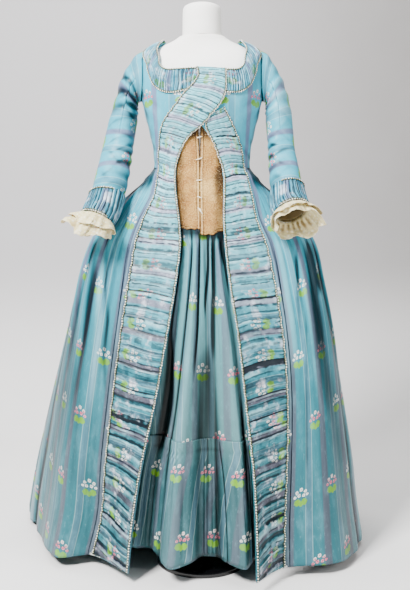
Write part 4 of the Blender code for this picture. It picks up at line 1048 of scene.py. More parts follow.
def cotton(name):
    """Sheer ivory cotton with worked dots."""
    look = Look(name, 0.8, sheen=0.2)
    uv = look.place("UV")
    blotch = look.noise(look.place(), 22.0)
    colour = look.veil(chosen("cotton"), blotch, (0.3, 0.7, 0.0, 0.55), chosen("cotton_shade"))
    dots = look.node("ShaderNodeTexVoronoi", {"Vector": uv, "Scale": 95.0, "Randomness": 0.35}, feature="F1")
    worked = look.step(dots.outputs["Distance"], 0.22, 0.34, 1.0, 0.0)
    colour = look.mixed(look.times(worked, 0.55), colour, tint(250, 246, 232))
    threads = look.noise(uv, 1400.0, detail=2.0)
    colour = look.veil(colour, threads, (0.35, 0.65, 0.0, 0.22), tint(150, 138, 112), "MULTIPLY")
    # Painted shade in the folds and painted highlights on the ridges, from the sheet's painted shading.
    colour = look.folded(colour, tint(132, 112, 78), tint(250, 244, 222), 0.95, 0.55)
    look.shader.inputs["Subsurface Weight"].default_value = 0.08
    look.shader.inputs["Subsurface Scale"].default_value = 0.01
    return look.done(colour, look.bump(worked, 0.0008, 0.6, look.bump(threads, 0.0004, 0.4)))


def linen_look(name):
    """Tan linen, mottled darker in places and speckled, with a plain weave, painted shade and painted
    highlights.
    """
    look = Look(name, 0.9)
    spot = look.place()
    mottle = look.noise(spot, 34.0, detail=6.0, roughness=0.7)
    colour = look.veil(chosen("linen"), mottle, (0.38, 0.62), chosen("linen_shade"))
    colour = look.veil(colour, look.noise(spot, 13.0), (0.50, 0.68, 0.0, 0.6), tint(222, 184, 112))
    # Painted shade in folds, towards the robings and under them, and painted highlights, from the sheet's
    # painted shading.
    colour = look.folded(colour, tint(44, 28, 16), tint(240, 214, 164), 0.92, 0.6)
    speck = look.noise(look.place("UV"), 330.0, detail=3.0, roughness=0.7)
    colour = look.veil(colour, speck, (0.36, 0.50, 0.75, 0.0), tint(120, 88, 56), "MULTIPLY")
    colour = look.veil(colour, speck, (0.56, 0.68, 0.0, 0.45), tint(238, 214, 168))
    return look.done(colour, look.bump(speck, 0.0012, 0.7))


def cover_look(name):
    """Fine white knit over the form."""
    look = Look(name, 0.85, sheen=0.2)
    spot = look.place()
    colour = look.veil(chosen("cover"), look.noise(spot, 6.0), (0.35, 0.7, 0.0, 0.18), tint(205, 196, 180))
    knit = look.noise(spot, 900.0, (1.0, 1.0, 0.5), 2.0)
    return look.done(colour, look.bump(knit, 0.0004, 0.5))


def gimp_look(name, colour, dark):
    """Picot cord, light on its loops, with painted shade between them."""
    look = Look(name, 0.7)
    turns = look.times(look.split(look.place("UV"))[1], 2 * pi / PICOT)
    # Painted shade between the loops, none on the lacing.
    gap = look.step(look.maths("COSINE", turns), -0.5, 0.2, 0.0 if name == "lacing_cord" else 1.0, 0.0)
    mixed = look.veil(colour, look.noise(look.place(), 60.0), (0.4, 0.7, 0.0, 0.5), dark)
    return look.done(look.mixed(gap, mixed, tint(26, 38, 38)))


def steel_look(name):
    """Dark brushed steel."""
    look = Look(name, 0.3, metallic=0.8)
    brushed = look.noise(look.place(), 300.0, (1.0, 1.0, 0.05))
    colour = look.mixed(brushed, tint(46, 46, 50), tint(74, 74, 80))
    return look.done(colour, look.bump(brushed, 0.0002, 0.3))


def enamel_look(name):
    """Black enamel with a little dust on it."""
    look = Look(name, 0.16, coat=0.6)
    dust = look.noise(look.place(), 80.0, detail=6.0)
    colour = look.veil(tint(9, 9, 11), dust, (0.55, 0.85, 0.0, 0.5), tint(52, 52, 54))
    return look.done(colour, look.bump(dust, 0.0002, 0.15), look.step(dust, 0.4, 0.9, 0.14, 0.38))


def studio_look(name):
    """Matt paint: a pale floor, and a greyer wall as the sweep rises, with painted shade darkening it to one
    side.
    """
    look = Look(name, 0.95)
    spot = look.place()
    x, _, height = look.split(spot)
    # Painted shade darkens the wall towards one side.
    wall = look.veil(tint(192, 190, 191), x, (-0.6, 1.5), tint(150, 147, 145))
    colour = look.veil(tint(250, 248, 246), height, (0.0, 0.75), wall)
    return look.done(look.veil(colour, look.noise(spot, 1.7), (0.3, 0.7, 0.0, 0.12), tint(190, 190, 192)))


LOOKS = {}


def looks():
    if not LOOKS:
        LOOKS.update(
            silk=silk("turquoise_silk", 0.80), trim=silk("gathered_silk", 1.0, 0.34, 0.6),
            fine=silk("gathered_fine_silk", 1.0, 0.34, 0.6), under=silk("petticoat_silk", 0.6, 0.14),
            cotton=cotton("ivory_cotton"), linen=linen_look("tan_linen"), cover=cover_look("white_cover"),
            steel=steel_look("dark_steel"), enamel=enamel_look("black_enamel"),
            gimp=gimp_look("cream_gimp", tint(250, 248, 232), tint(196, 192, 160)),
            core=gimp_look("green_core", tint(120, 124, 70), tint(60, 66, 46)),
            lace=gimp_look("lacing_cord", tint(250, 240, 214), tint(214, 196, 160)))
    return LOOKS


# ---- shapes of the cloth

def body_arc(u, z, steps=25):
    """Distance round the body from the centre front to the angle u."""
    f = np.linspace(0.0, 1.0, steps).reshape((steps,) + (1,) * np.broadcast(u, z).ndim)
    chain = torso_skin(f * u, z + 0.0 * f * u)
    return strides(chain).sum(axis=0)


def front_outer(z):
    """Station of the front's outer edge below the waist."""
    return mix(*FRONT_OUTER, rise(z, 0.6, 0.4))


def but_ends(f, steep):
    """1 along a sheet, and 0 at both of its ends."""
    return ease(f * steep) * ease((1 - f) * steep)


def skirt_u(side, t, z):
    """The cloth's u below the waist, where half of the hem's extra width is let in above the hips."""
    f = np.linspace(0.0, 1.0, 41)[:, None, None]

    def run(level):
        chain = gown_skirt(side, mix(1.0, t, f), level)
        return strides(chain).sum(axis=0) * np.sign(t - 1.0)

    width = mix(run(z + 0.0 * t), run(GOWN_HEM + 0.0 * (z + t)), 0.5 * fall(z, 1.02, 0.17))
    return width + body_arc(angle_at(ROBING_AT_WAIST[side], WAIST_ROW), WAIST_ROW) - BODY_MAUVE


def down_from_waist(points):
    run = arc_up(points)
    return run - run[-1:]


def front_crease(side, t, z):
    """Soft edge of cloth that stands out along the robing from waist to knee, and shallow folds."""
    near = rise(t, 1.0, 0.05)
    lip = 0.0045 * bell(t, 1.075, 0.030) * rise(z, 0.35, 0.2) * fall(z, 1.0, 0.08)
    dip = -0.0035 * bell(t, 1.15, 0.035) * fall(z, 1.0, 0.1)
    return near * (lip + dip + 0.0012 * wander(z * 9 + t * 5, side))


def body_crease(side, u, z):
    """Small drags in the fitted fronts, from the side seam and the armhole towards the robing."""
    drag = 0.0011 * sin(z * 150 + u * 0.11 * side) * bell(z, 1.075, 0.035)
    pull = 0.0013 * sin(z * 105 - u * 0.16) * bell(z, 1.20, 0.04) * rise(u, 30, 25)
    return (drag + pull) * rise(u, 20, 20)


def hollows(height, reach, deep, axis=1):
    """How far each point lies below its neighbours, from -1 to 1."""
    padded = np.pad(height, [(reach, reach) if k == axis else (0, 0) for k in (0, 1)], mode="edge")
    total = np.cumsum(np.insert(padded, 0, 0.0, axis=axis), axis=axis)
    size = 2 * reach + 1
    count = height.shape[axis]
    mean = (np.take(total, range(size, size + count), axis) - np.take(total, range(count), axis)) / size
    return np.clip((mean - height) / deep, -1.0, 1.0)


def front_points(side):
    f = columns_of(0.0, 1.0, FRONT_COLUMNS)
    z = rows_of(GOWN_HEM, WAIST_ROW, FRONT_ROWS)
    t = f * front_outer(z)
    low_height = front_crease(side, t, z)
    low = gown_skirt(side, t, z, low_height)
    low_u = skirt_u(side, t, z)
    low_v = down_from_waist(low)
    inner = [(float(angle_at(x, h)), h) for x, h in OPENINGS[side] + NECKLINE] + list(SHOULDER_NECK)
    at = np.linspace(0.0, len(inner) - 1, FRONT_BODY_ROWS)
    rows = np.arange(len(inner))
    iu, iz = (np.interp(at, rows, [p[k] for p in inner])[:, None] for k in (0, 1))
    ou, oz = (np.interp(at, rows, [p[k] for p in SIDE_SEAM])[:, None] for k in (0, 1))
    u = mix(iu, ou, f)
    h = mix(iz, oz, f)
    high_height = body_crease(side, u, h)
    high = mirror(side, torso(u, h, GOWN_OFF + high_height))
    # Painted shade in folds' hollows, the skirt's painted shadows and highlights, and painted shade by the
    # side seam.
    crease = np.concatenate([0.5 * hollows(low_height, 4, 0.0022) + skirt_shades(side, low),
                             0.35 * hollows(high_height, 4, 0.0010, 0)])
    seam = 0.55 * rise(f, 0.80, 0.20) * np.concatenate([0.0 * z, 1.0 + 0.0 * at[:, None]])
    crease = np.clip(crease + seam, -1, 1)
    points = np.concatenate([low, high])
    all_u = np.concatenate([low_u, body_arc(u, h) - BODY_MAUVE])
    return points, all_u, np.concatenate([low_v, h - WAIST_ROW]), crease


def bodice_side_points(side):
    stations = np.linspace(0, len(BODICE_ANGLES) - 1, BODICE_COLUMNS)
    u = np.interp(stations, range(len(BODICE_ANGLES)), BODICE_ANGLES)[None]
    low = np.clip(1 - ((u - 90) / ARMHOLE_HALF_ANGLE) ** 2, 0.0, None)
    top = np.minimum(ARMHOLE_Z - ARMHOLE_HALF_HEIGHT * np.sqrt(low) - 0.001, 1.2455)
    z = mix(SIDE_WAIST + 0.0007, top, rows_of(0, 1, BODICE_ROWS))
    drag = 0.0010 * sin(z * 120 + u * 0.2) * rise(u, 82, 8) * fall(u, 127, 8)
    points = mirror(side, torso(u, z, GOWN_OFF + drag))
    # Painted shade in the hollows of the drags.
    return points, body_arc(u, z) - BODY_MAUVE, z - WAIST_ROW, 0.45 * hollows(drag, 4, 0.0010, 0)


def fold_depth(z):
    return mix(0.013, 0.0018, rise(z, 0.25, 0.70)) * fall(z, WAIST - 0.004, 0.05)


def hem_drop(t, z):
    """The hem sinks to the floor from the front edge to the back."""
    return z - (GOWN_HEM - BACK_HEM) * rise(t, 1.5, 2.8) * fall(z, GOWN_HEM + 0.10, 0.10)


def waist_rise(t, z):
    """The side's top edge rises from the front panel's corner to the seam under the bodice side."""
    lift = mix(-0.0005, SIDE_WAIST - WAIST_ROW, np.clip((t - FRONT_OUTER[1]) / 0.78, 0.0, 1.0))
    return z + lift * ease((z - 1.02) / (WAIST_ROW - 1.02))


def ridges(table, place, z):
    """Summed height of folds that run up the cloth, each in its own place, width and length."""
    total = 0.0 * (place + z)
    for k, (high, low, height, half, bottom, top) in enumerate(table):
        path = mix(low, high, ease(z / WAIST)) + 0.006 * wander(z * 3.0, k)
        shape = bell(place, path, half)
        total = total + height * shape * ease((top - z) / 0.22) * mix(0.7, 1.0, ease((z - bottom) / 0.15))
    return total


def side_fold(f, z, side):
    sway = 0.22 * sin(5 * z + side)
    wave = sin(2 * pi * (6.4 * f + sway))
    base = fold_depth(z) * wave * but_ends(f, 7)
    fine = 0.0006 * wander(f * 30 + 0.8 * sin(z * 7), side + 3) * fall(z, 1.0, 0.1)
    pleats = 0.0024 * (tucks(15 * f + 0.7 * wander(f * 9, 5)) - 0.4) * rise(z, 0.80, 0.20)
    ends = but_ends(f, 9) * fall(z, WAIST - 0.002, 0.03)
    calm = mix(1.0, mix(0.18, 0.75, rise(z, 0.45, 0.35)), fall(f, 0.62, 0.2))
    return ((base * 0.30 + 0.60 * ridges(SIDE_RIDGES[side], f, z)) * calm + fine + pleats) * ends


def skirt_shades(side, points):
    """Shadow, above 0, or lit ridge, below 0, of each point of a skirt front's listed folds."""
    far, z = np.abs(points[..., 0]), points[..., 2]
    total = 0.0 * z
    for heights, places, halves, depths in SKIRT_SHADES[side]:
        rows = (np.broadcast_to(row, len(heights)) for row in (places, halves, depths))
        place, half, depth = (np.interp(z, heights, row) for row in rows)
        depth = np.where((z < heights[0]) | (z > heights[-1]), 0.0, depth)
        total = total + depth * bell(far, place, half)
    return total


def skirt_side_points(side):
    z = rows_of(GOWN_HEM, WAIST_ROW, SIDE_ROWS)
    f = columns_of(0.0, 1.0, SIDE_COLUMNS)
    t = mix(front_outer(z) + 0.006, BACK_SEAM - 0.008, f)
    level = waist_rise(t, hem_drop(t, z))
    height = side_fold(f, z, side)
    points = gown_skirt(side, t, level, height)
    u = skirt_u(side, t, level)
    # Painted shadow along the top of the skirt side below the waist, and over the top of the hip behind it.
    top_shade = 0.9 * rise(z, 0.955, 0.05) * rise(f, 0.03, 0.08) * fall(f, 0.75, 0.2)
    hip = 0.28 + 0.22 * fall(z, 1.02, 0.09)
    top_shade = top_shade + 0.95 * ease((f - hip) / 0.08) * fall(f, 0.9, 0.1) * rise(z, 0.925, 0.02)
    shown = fall(f, 0.62, 0.08)
    # Painted shade towards the skirt's outline, below the hips.
    outer = rise(f, 0.24, 0.14) * fall(f, 0.75, 0.1) * fall(z, 0.86, 0.06)
    outer = outer * mix(0.26, 0.56, rise(z, 0.15, 0.30))
    # Painted shade in the folds' hollows, and on the front the listed painted shadows and highlights.
    crease = (1 - 0.55 * shown) * hollows(height, 10, 0.0040) + shown * skirt_shades(side, points)
    return points, u, down_from_waist(points), np.clip(crease + outer + top_shade, -1, 1)


def pleat_depth(z):
    return mix(0.030, 0.0035, rise(z, 0.35, 0.95))


def back_half_points(side):
    """Half the sack back, from its side seam at c = 0 to the centre at c = BACK_HALF."""
    c = columns_of(0.0, BACK_HALF, BACK_COLUMNS)
    pleat = np.interp(c, range(BACK_HALF + 1), BACK_PLEATS)
    z = rows_of(GOWN_HEM, WAIST_ROW, BACK_ROWS)
    t = mix(BACK_SEAM, 6.0, c / BACK_HALF)
    creased = 0.0016 * wander(c * 2.2 + z * 1.4, 4) * ease(c / 0.8) * fall(c, BACK_HALF, 0.8)
    low_height = pleat * pleat_depth(z) + creased
    low = gown_skirt(side, t, hem_drop(t, z), low_height)
    place = range(len(BACK_BODY))
    at = np.linspace(0.0, place[-1], BACK_BODY_ROWS)
    values = [np.interp(at, place, [row[k] for row in BACK_BODY])[:, None] for k in range(5)]
    outer_u, outer_z, middle_u, middle_z, centre_z = values
    near = c / 3
    far = (c - 3) / (BACK_HALF - 3)
    u = np.where(c <= 3, mix(outer_u, middle_u, near), mix(middle_u, 180.0, far))
    h = np.where(c <= 3, mix(outer_z, middle_z, near), mix(middle_z, centre_z, far))
    high_height = pleat * pleat_depth(h) * rise(u, 127, 14)
    high = torso(u, h, GOWN_OFF + high_height)
    high[..., 1] += sack_fall(u, h)
    points = np.concatenate([low, mirror(side, high)])
    width = arc_across(points)
    width = width[:, -1:] - width
    span = mix(width, width[:1], 0.5)
    v = np.concatenate([down_from_waist(low), h - WAIST_ROW])
    # Painted shade in the hollows of the pleats.
    crease = np.concatenate([hollows(low_height, 8, 0.010), hollows(high_height, 8, 0.006)])
    return points, side * span, v, crease


def robing_length(side):
    return ROBING_BELOW + ROBING_STEP * (len(ROBINGS[side]) - 1)


def robing_points(side, run, across, lift):
    """Points of a robing at a distance up from the hem, across from 0 at its inner edge to 1."""
    place = run / ROBING_BELOW
    z = mix(GOWN_HEM + 0.004, WAIST_ROW, np.clip(place, 0.0, 1.0))
    low = gown_skirt(side, across, z + 0.0 * across, ROBING_GAP + lift)
    table = ROBINGS[side]
    at = np.clip((run - ROBING_BELOW) / ROBING_STEP, 0.0, len(table) - 1.0)
    outer_x, outer_z, inner_x, inner_z = (column(table, k, at) for k in range(4))
    u = mix(angle_at(inner_x, inner_z), angle_at(outer_x, outer_z), across)
    gap = TRIM_GAP + 0.0 * at
    if side < 0:
        gap = mix(TRIM_GAP, CROSSING_GAP, ease(at - 3.0))
    high = mirror(side, torso(u, mix(inner_z, outer_z, across), GOWN_OFF + gap + lift))
    return np.where((place <= 1.0)[..., None], low, high)


def tight_folds(phase, lane, width):
    """Lines of painted shade in the folds between puffs, each with its own depth, 0 to 1."""
    near = np.abs(phase - np.round(phase))
    number = np.round(phase) * 12.9898 + lane * 78.233
    strength = np.mod(sin(number) * 43758.5453, 1.0)
    return bell(near, 0.0, width) * (0.25 + 0.75 * strength)


def tucks(phase, crest=0.84):
    """Height of folds that rise slowly to a crest and drop sharply, one for each unit of phase."""
    part = np.mod(phase, 1.0)
    return part ** 1.3 * (1 - ease((part - crest) / (1 - crest))) / crest ** 1.3


def gather_places(run, across, side):
    """How far up a robing each point's gather starts at the inner edge, and its place among the gathers."""
    slope = curve((0.0, 0.5, 0.9, 1.3), (0.030, 0.024, 0.016, 0.004), run)
    bend = across ** 1.1 if side < 0 else across ** 0.5
    at = run - slope * bend + 0.0022 * sin(across * 5 + run * 13 + side)
    dense = bpy.context.scene.robe_sizes.robing_gathers
    return at, dense * at + 46 * np.maximum(at - 0.82, 0.0) ** 2 + 0.55 * wander(at * 13, side)


def gathers(gather, across, height, seed):
    """Height of the cushions between the folds of a gathered band, and their painted shading: painted shade
    along the middle and in nicks near the edges, and a painted highlight on each crest.
    """
    held = np.abs(sin(pi * across)) ** 0.5
    uneven = 0.65 + 0.35 * wander(gather * 1.3, seed + 2)
    from_edge = np.minimum(across, 1 - across)
    nicks = tucks(gather * 3.1 + 0.4 * sin(across * 7 + gather)) * bell(from_edge, 0.08, 0.09)
    lift = height * (0.85 * tucks(gather) * uneven + 0.30 * nicks + 0.07 * tucks(gather * 2.37))
    crest = bell(np.mod(gather, 1.0), 0.70, 0.16) * uneven
    middle = bell(across, 0.5, 0.022) * (0.5 + 0.5 * sin(gather * 2 * pi * 3.1))
    nick = bell(from_edge, 0.045, 0.030) * ease((sin(2 * pi * gather * 3.1) + 0.1) / 0.6)
    crease = 0.55 * middle + 0.9 * nick
    return lift * (0.2 + 0.8 * held), np.where(crease > 0.12, np.clip(crease, 0, 1), -0.35 * crest * held)


def robing_sheet(side):
    sizes = bpy.context.scene.robe_sizes
    length = robing_length(side)
    run = rows_of(0.0, length, int(length * ROBING_ROWS_IN_METRE))
    across = columns_of(0.0, 1.0, ROBING_COLUMNS)
    flat = 1.0 if side < 0 else ease((length - run) / 0.05)
    at, gather = gather_places(run, across, side)
    lift, crease = gathers(gather, across, sizes.puff, side)
    waved = across + 0.010 * sin(2 * pi * gather * 1.05) * (1 - 2 * across) * rise(run, 0.02, 0.05)
    points = robing_points(side, run, waved, lift * flat)
    wide = arc_across(points)[:, -1:].mean()
    pieced = np.floor(at / 0.36)
    v = (1 - across) * wide + SPRIG_ROW / 2 - 0.043 + 0.012 * sin(pieced * 2.3 + side)
    u = at * 1.22 + 0.015 * sin(pieced * 5.1)
    return points, u, v, crease, gather


def collar_sheet(side):
    sizes = bpy.context.scene.robe_sizes
    ends = [COLLAR_FIRST[side]] + list(COLLAR_FRONT)
    table = [(float(angle_at(a, b)), b, float(angle_at(c, d)), d) for a, b, c, d in ends] + list(COLLAR_OVER)
    f = columns_of(0.0, 1.0, COLLAR_COLUMNS)
    across = rows_of(1.0, 0.0, COLLAR_ROWS)
    at = f * (len(table) - 1)
    iu, iz, ou, oz = (column(table, k, at) for k in range(4))
    flat = but_ends(f, 14)
    phase = sizes.collar_gathers * f + 0.35 * wander(f * 9, side)
    phase = phase + 0.25 * across + 0.1 * sin(across * 8 + f * 30)
    held = sin(pi * across) ** 0.5
    puff = 0.8 * tucks(phase) + 0.2 * tucks(phase * 2.37)
    lift = mix(TRIM_GAP, 0.0020, ease(at - 3.5)) + 0.0006 + sizes.puff * 0.9 * puff * held * flat
    points = mirror(side, torso(mix(iu, ou, across), mix(iz, oz, across), GOWN_OFF + lift))
    run = arc_across(points)[-1:]
    # A painted highlight on each puff's crest.
    crest = 0.7 * bell(np.mod(phase, 1.0), 0.70, 0.14)
    v = (1 - across) * 0.058 + SPRIG_ROW / 2 - 0.030 + 0.0 * f
    return points, run * 1.35 + 0.0 * across, v, -crest * held, phase + 0.0 * across


def sleeve_axes(side, place):
    """Centre, half axis outwards from the body and half axis forwards of a sleeve's rings."""
    out_x, out_z, in_x, in_z, y, half_depth = (column(SLEEVES[side], k, place) for k in range(6))
    outer = points_of(side * out_x, y, out_z)
    inner = points_of(side * in_x, y, in_z)
    return (outer + inner) / 2, (outer - inner) / 2, half_depth


def ring_points(side, place, angle, lift=0.0, shift=0.0):
    """Points of rings square to the sleeve, angle 0 at the front and a quarter turn at the outer side."""
    place = place + 0.0 * angle
    centre, out, depth = sleeve_axes(side, place)
    path = unit(sleeve_axes(side, place + 0.4)[0] - sleeve_axes(side, place - 0.4)[0])
    forward = unit(np.cross(path, out))
    forward = np.where(forward[..., 1:2] > 0, -forward, forward)
    long = np.linalg.norm(out, axis=-1)
    c = cos(angle) * (depth + lift)
    s = sin(angle) * (1 + lift / long)
    return centre + forward * c[..., None] + out * s[..., None] + path * np.asarray(shift)[..., None]


def armhole_points(side, angle, scale, off):
    u = 90 - ARMHOLE_HALF_ANGLE * scale * cos(angle)
    z = ARMHOLE_Z + ARMHOLE_HALF_HEIGHT * scale * sin(angle)
    return mirror(side, torso(u, z, GOWN_OFF + off))


def sleeve_wrinkles(side, place, angle):
    """Drags round the elbow and the inner arm, and a soft ridge down the outer arm."""
    elbow = bell(place, 5.1, 0.9) * (0.55 - 0.45 * sin(angle))
    rings = 0.0020 * sin(place * 13 + 1.2 * sin(angle + side)) * elbow
    upper = 0.0022 * sin(place * 7.5 - 1.8 * angle) * bell(place, 1.6, 1.1)
    long = 0.0018 * sin(3 * angle + place * 0.8) * ease(place / 1.0) * fall(place, 6.3, 0.6)
    return (rings + upper + long) * fall(place, 6.6, 0.4)


def sleeve_drags(side, place, angle):
    """Painted shading of a sleeve: painted shade in thin drags with a painted highlight beside each, on its
    inner side, and over a broad area, darker on the right sleeve and lighter on the left.
    """
    deep = 0.42 * ease((-sin(angle) - 0.05) / 0.7) * fall(place, 6.8, 1.0)
    middle, strength = {1: (2.2, -0.75), -1: (1.4, 0.58)}[side]
    deep = deep + strength * bell(place, middle, 1.5) * ease(0.5 + cos(angle - 0.3))
    for start, turn, slope, spread, strength in SLEEVE_DRAGS:
        line = start + slope * sin(angle - turn) + 0.10 * sin(3 * angle + start * 7 + side)
        wide = bell(np.angle(np.exp(1j * (angle - turn))), 0.0, spread)
        deep = deep + 0.55 * strength * wide * bell(place, line, 0.10)
        deep = deep - 0.3 * strength * wide * bell(place, line - 0.24, 0.12)
    return np.clip(deep, -1.0, 1.0)


def sleeve_sheet(side):
    angle = columns_of(0.0, 2 * pi, SLEEVE_COLUMNS)
    head = armhole_points(side, angle[0], 1.03, 0.0020 + WALL)[None]
    first = ring_points(side, np.zeros((1, 1)), angle)
    f = np.linspace(0.0, 1.0, SLEEVE_HEAD_ROWS)[:-1, None]
    top = np.maximum(sin(angle), 0.0)
    puffed = 0.0024 * sin(26 * angle / 2) * top * (1 - f)
    swell = (sin(pi * f) * top + puffed * 120)[..., None] * np.array((side * 0.006, 0.0, 0.004))
    near = head + (first - head) * f[..., None] + swell
    place = rows_of(0.0, SLEEVE_END, SLEEVE_ROWS)
    height = sleeve_wrinkles(side, place, angle)
    rings = ring_points(side, place, angle, height)
    points = np.concatenate([near, rings])
    # Painted shade in the wrinkles' hollows and the drags, and a little painted shade at the armhole.
    crease = 0.55 * hollows(height, 6, 0.0024, 0) + sleeve_drags(side, place, angle)
    crease = np.concatenate([crease[:1] * f + 0.25 * (1 - f), crease])
    run = arc_up(points).mean(axis=1, keepdims=True)
    lining = np.concatenate([0.0 * f, rise(place, CUFF_TOP + 0.25, 0.1)]) + 0.0 * angle
    return points, run + 0.03 + 0.0 * angle, (angle / (2 * pi) * 0.30 + 0.10) + 0.0 * run, crease, lining


def cuff_sheet(side):
    sizes = bpy.context.scene.robe_sizes
    angle = columns_of(0.0, 2 * pi, CUFF_COLUMNS)
    across = rows_of(0.0, 1.0, CUFF_ROWS)
    place = mix(CUFF_TOP, CUFF_END, across)
    phase = angle / (2 * pi) * sizes.cuff_gathers
    phase = phase + 0.30 * sin(3 * angle + side) + 0.20 * sin(across * 4 + 2 * sin(angle))
    held = sin(pi * across) ** 0.55
    lift = CUFF_GAP + 0.0008 + sizes.puff * 0.75 * puffs(phase, 0.7) * held
    points = ring_points(side, place, angle, lift)
    # Painted highlights on the puffs' crests, and lines of painted shade, broken in places, in the folds.
    crest = 0.7 * ease((puffs(phase, 0.7) - 0.75) / 0.25) * held
    broken = 0.62 + 0.38 * wander(np.round(phase) * 1.7 + across * 4, side)
    crease = 2.2 * tight_folds(phase, 0.0, 0.17) * broken - 0.8 * crest
    v = (1 - across) * 0.06 + 0.055 + 0.0 * angle
    return points, angle / (2 * pi) * 0.42 + 0.0 * across, v, np.clip(crease, -1, 1), phase


def ruffle_base(side, angle, f):
    """Points of the ruffle from the cuff at f = 0 to the hem at f = 1, and their outward spokes."""
    centre, out, forward, tip = (np.array(v) for v in RUFFLE_HEM[side])
    s = sin(angle)
    c = cos(angle)
    wave = 1 + 0.13 * sin(RUFFLE_WAVES * angle + 0.6)
    spoke = out * s[..., None] + forward * c[..., None]
    hem = centre + spoke * wave[..., None]
    hem[..., 2] += tip * rise(s, 0.4, 0.6)
    top = ring_points(side, CUFF_END + 0.0 * angle, angle, 0.0, RUFFLE_START + 0.0 * angle)
    bulge = unit(mirror(side, spoke)) * (0.004 * sin(pi * f))[..., None]
    return mix(top, mirror(side, hem), f[..., None]) + bulge, mirror(side, spoke)


def ruffle_points(side, angle, f, lift):
    angle, f, lift = (a.copy() for a in np.broadcast_arrays(angle, f, lift))
    here, spoke = ruffle_base(side, angle, f)
    round_it = ruffle_base(side, angle + 0.1, f)[0] - ruffle_base(side, angle - 0.1, f)[0]
    down = ruffle_base(side, angle, f + 0.05)[0] - ruffle_base(side, angle, np.maximum(f - 0.05, 0.0))[0]
    out = unit(np.cross(round_it, down))
    sign = np.sign(np.sum(out * spoke, axis=-1))
    return here + out * (lift * sign)[..., None]


def scallop(angle, count):
    return np.abs(sin(angle * count / 2))


def ruffle_sheet(side, tier):
    """One tier of an engageante. The left one is lifted in front, so that its hollow shows."""
    angle = columns_of(0.0, 2 * pi, RUFFLE_COLUMNS)
    rows = rows_of(0.0, 1.0, RUFFLE_ROWS)
    crumpled = wander(angle * 2 + rows * 3, side) + 0.6 * wander(angle * 5 - rows * 4, side + 2)
    front = ease((cos(angle) - 0.05) / 0.75)
    if tier == "lower":
        lobes = 1 - 0.13 * (1 - scallop(angle + 0.5, 5)) - 0.03 * (1 - scallop(angle, 26))
        reach = lobes * (1 - {1: 0.40, -1: 0.05}[side] * front) * 0.97
        f = rows * (1 - (1 - reach) * ease(rows / 0.9))
        lift = 0.0013 * sin(19 * angle + 2.5 * sin(2 * angle)) * ease(rows / 0.12) * (1 - 0.75 * rows)
        big = sin(6 * angle + 2.0 * sin(angle + side) + 0.8 * rows)
        lift = lift + 0.0062 * big * rise(rows, 0.2, 0.8)
        lift = lift + 0.0016 * crumpled * rise(rows, 0.1, 0.5)
        body = ruffle_points(side, angle, f, lift)
        start = ring_points(side, np.full((1, 1), SLEEVE_END + 0.009), angle)
        points = np.concatenate([start, body])
    else:
        reach = (RUFFLE_SPLIT - 0.05) * (1 - 0.10 * (1 - scallop(angle + 1.0, 7)))
        reach = reach * (1 - {1: 0.30, -1: 0.0}[side] * front)
        f = 0.05 + rows * reach
        lift = mix(0.0030, 0.0058, rows) + 0.0016 * (1.6 + crumpled) * rows
        lift = lift + (0.0006 + 0.0014 * rows) * (1 + sin(11 * angle + 2.6 * sin(2 * angle) + rows))
        points = ruffle_points(side, angle, f, lift)
    run = arc_up(points)
    # Painted shade in the hollows and with the crumpling, painted shade on the back near the cuff, and
    # lighter at the hem.
    crease = 0.55 * hollows(lift + 0.0 * angle, 5, 0.0016) + 0.35 * np.clip(crumpled, -0.5, 1.0)
    hollow = ease((-cos(angle) - 0.1) / 0.5) * fall(rows, 0.70, 0.4) * {1: 0.45, -1: 0.2}[side]
    edge = 0.5 * rise(rows, 0.93, 0.07)
    crease = np.clip(crease + hollow - edge, -1, 1)
    if tier == "lower":
        crease = np.concatenate([crease[:1], crease])
    return points, angle * 0.06 + 0.0 * run, run, crease


def petticoat_fold(s, z):
    """Fold depth at the signed station s, 0 at the centre front and 1 at the robing's inner edge."""
    grow = fall(z, 0.875, 0.75)
    early = 0.0035 * fall(z, 0.862, 0.05)
    deep = look_up(FRONT_FOLDS, FRONT_FOLDS_COLUMNS, "depth", s) * 0.030
    small = early * sin(2 * pi * (s * 2.6 + 0.2)) * (np.abs(s) < 1.3)
    back = 0.008 * grow * sin(2 * pi * s * 1.06)
    near = fall(np.abs(s), FLOUNCE_REACH, 0.5)
    return deep * grow * near + small * (1 - grow) + back * (1 - near)


def hem_lift(s, z):
    lift = -0.008 * look_up(FRONT_FOLDS, FRONT_FOLDS_COLUMNS, "depth", s) * fall(z, 0.30, 0.2)
    return np.where(np.abs(s) > FLOUNCE_REACH, 0.0, lift)


def valleys(s, z):
    """How deep each point lies in the petticoat's listed valleys, 0 to 1."""
    deepest = 0.0 * (s + z)
    for heights, places, halves, depths in FRONT_VALLEYS:
        rows = (np.broadcast_to(row, len(heights)) for row in (places, halves, depths))
        place, half, depth = (curve(heights, row, z) for row in rows)
        deepest = np.maximum(deepest, depth * bell(s, place, half))
    return deepest


def petticoat_height(s, z):
    fine = 0.0008 * wander(s * 16 + 0.6 * sin(z * 8), 7) * fall(z, 0.85, 0.1)
    return petticoat_fold(s, z) - 0.0070 * valleys(s, z) * fall(z, 0.868, 0.04) + fine


def petticoat_points(s, z, off=0.0):
    s, z = np.broadcast_arrays(s, z)
    level = z + hem_lift(s, z)
    depth = petticoat_height(s, z) + off
    left = petticoat_base(1, np.abs(s) - 1, level, depth)
    right = petticoat_base(-1, np.abs(s) - 1, level, depth)
    return np.where((s >= 0)[..., None], left, right)


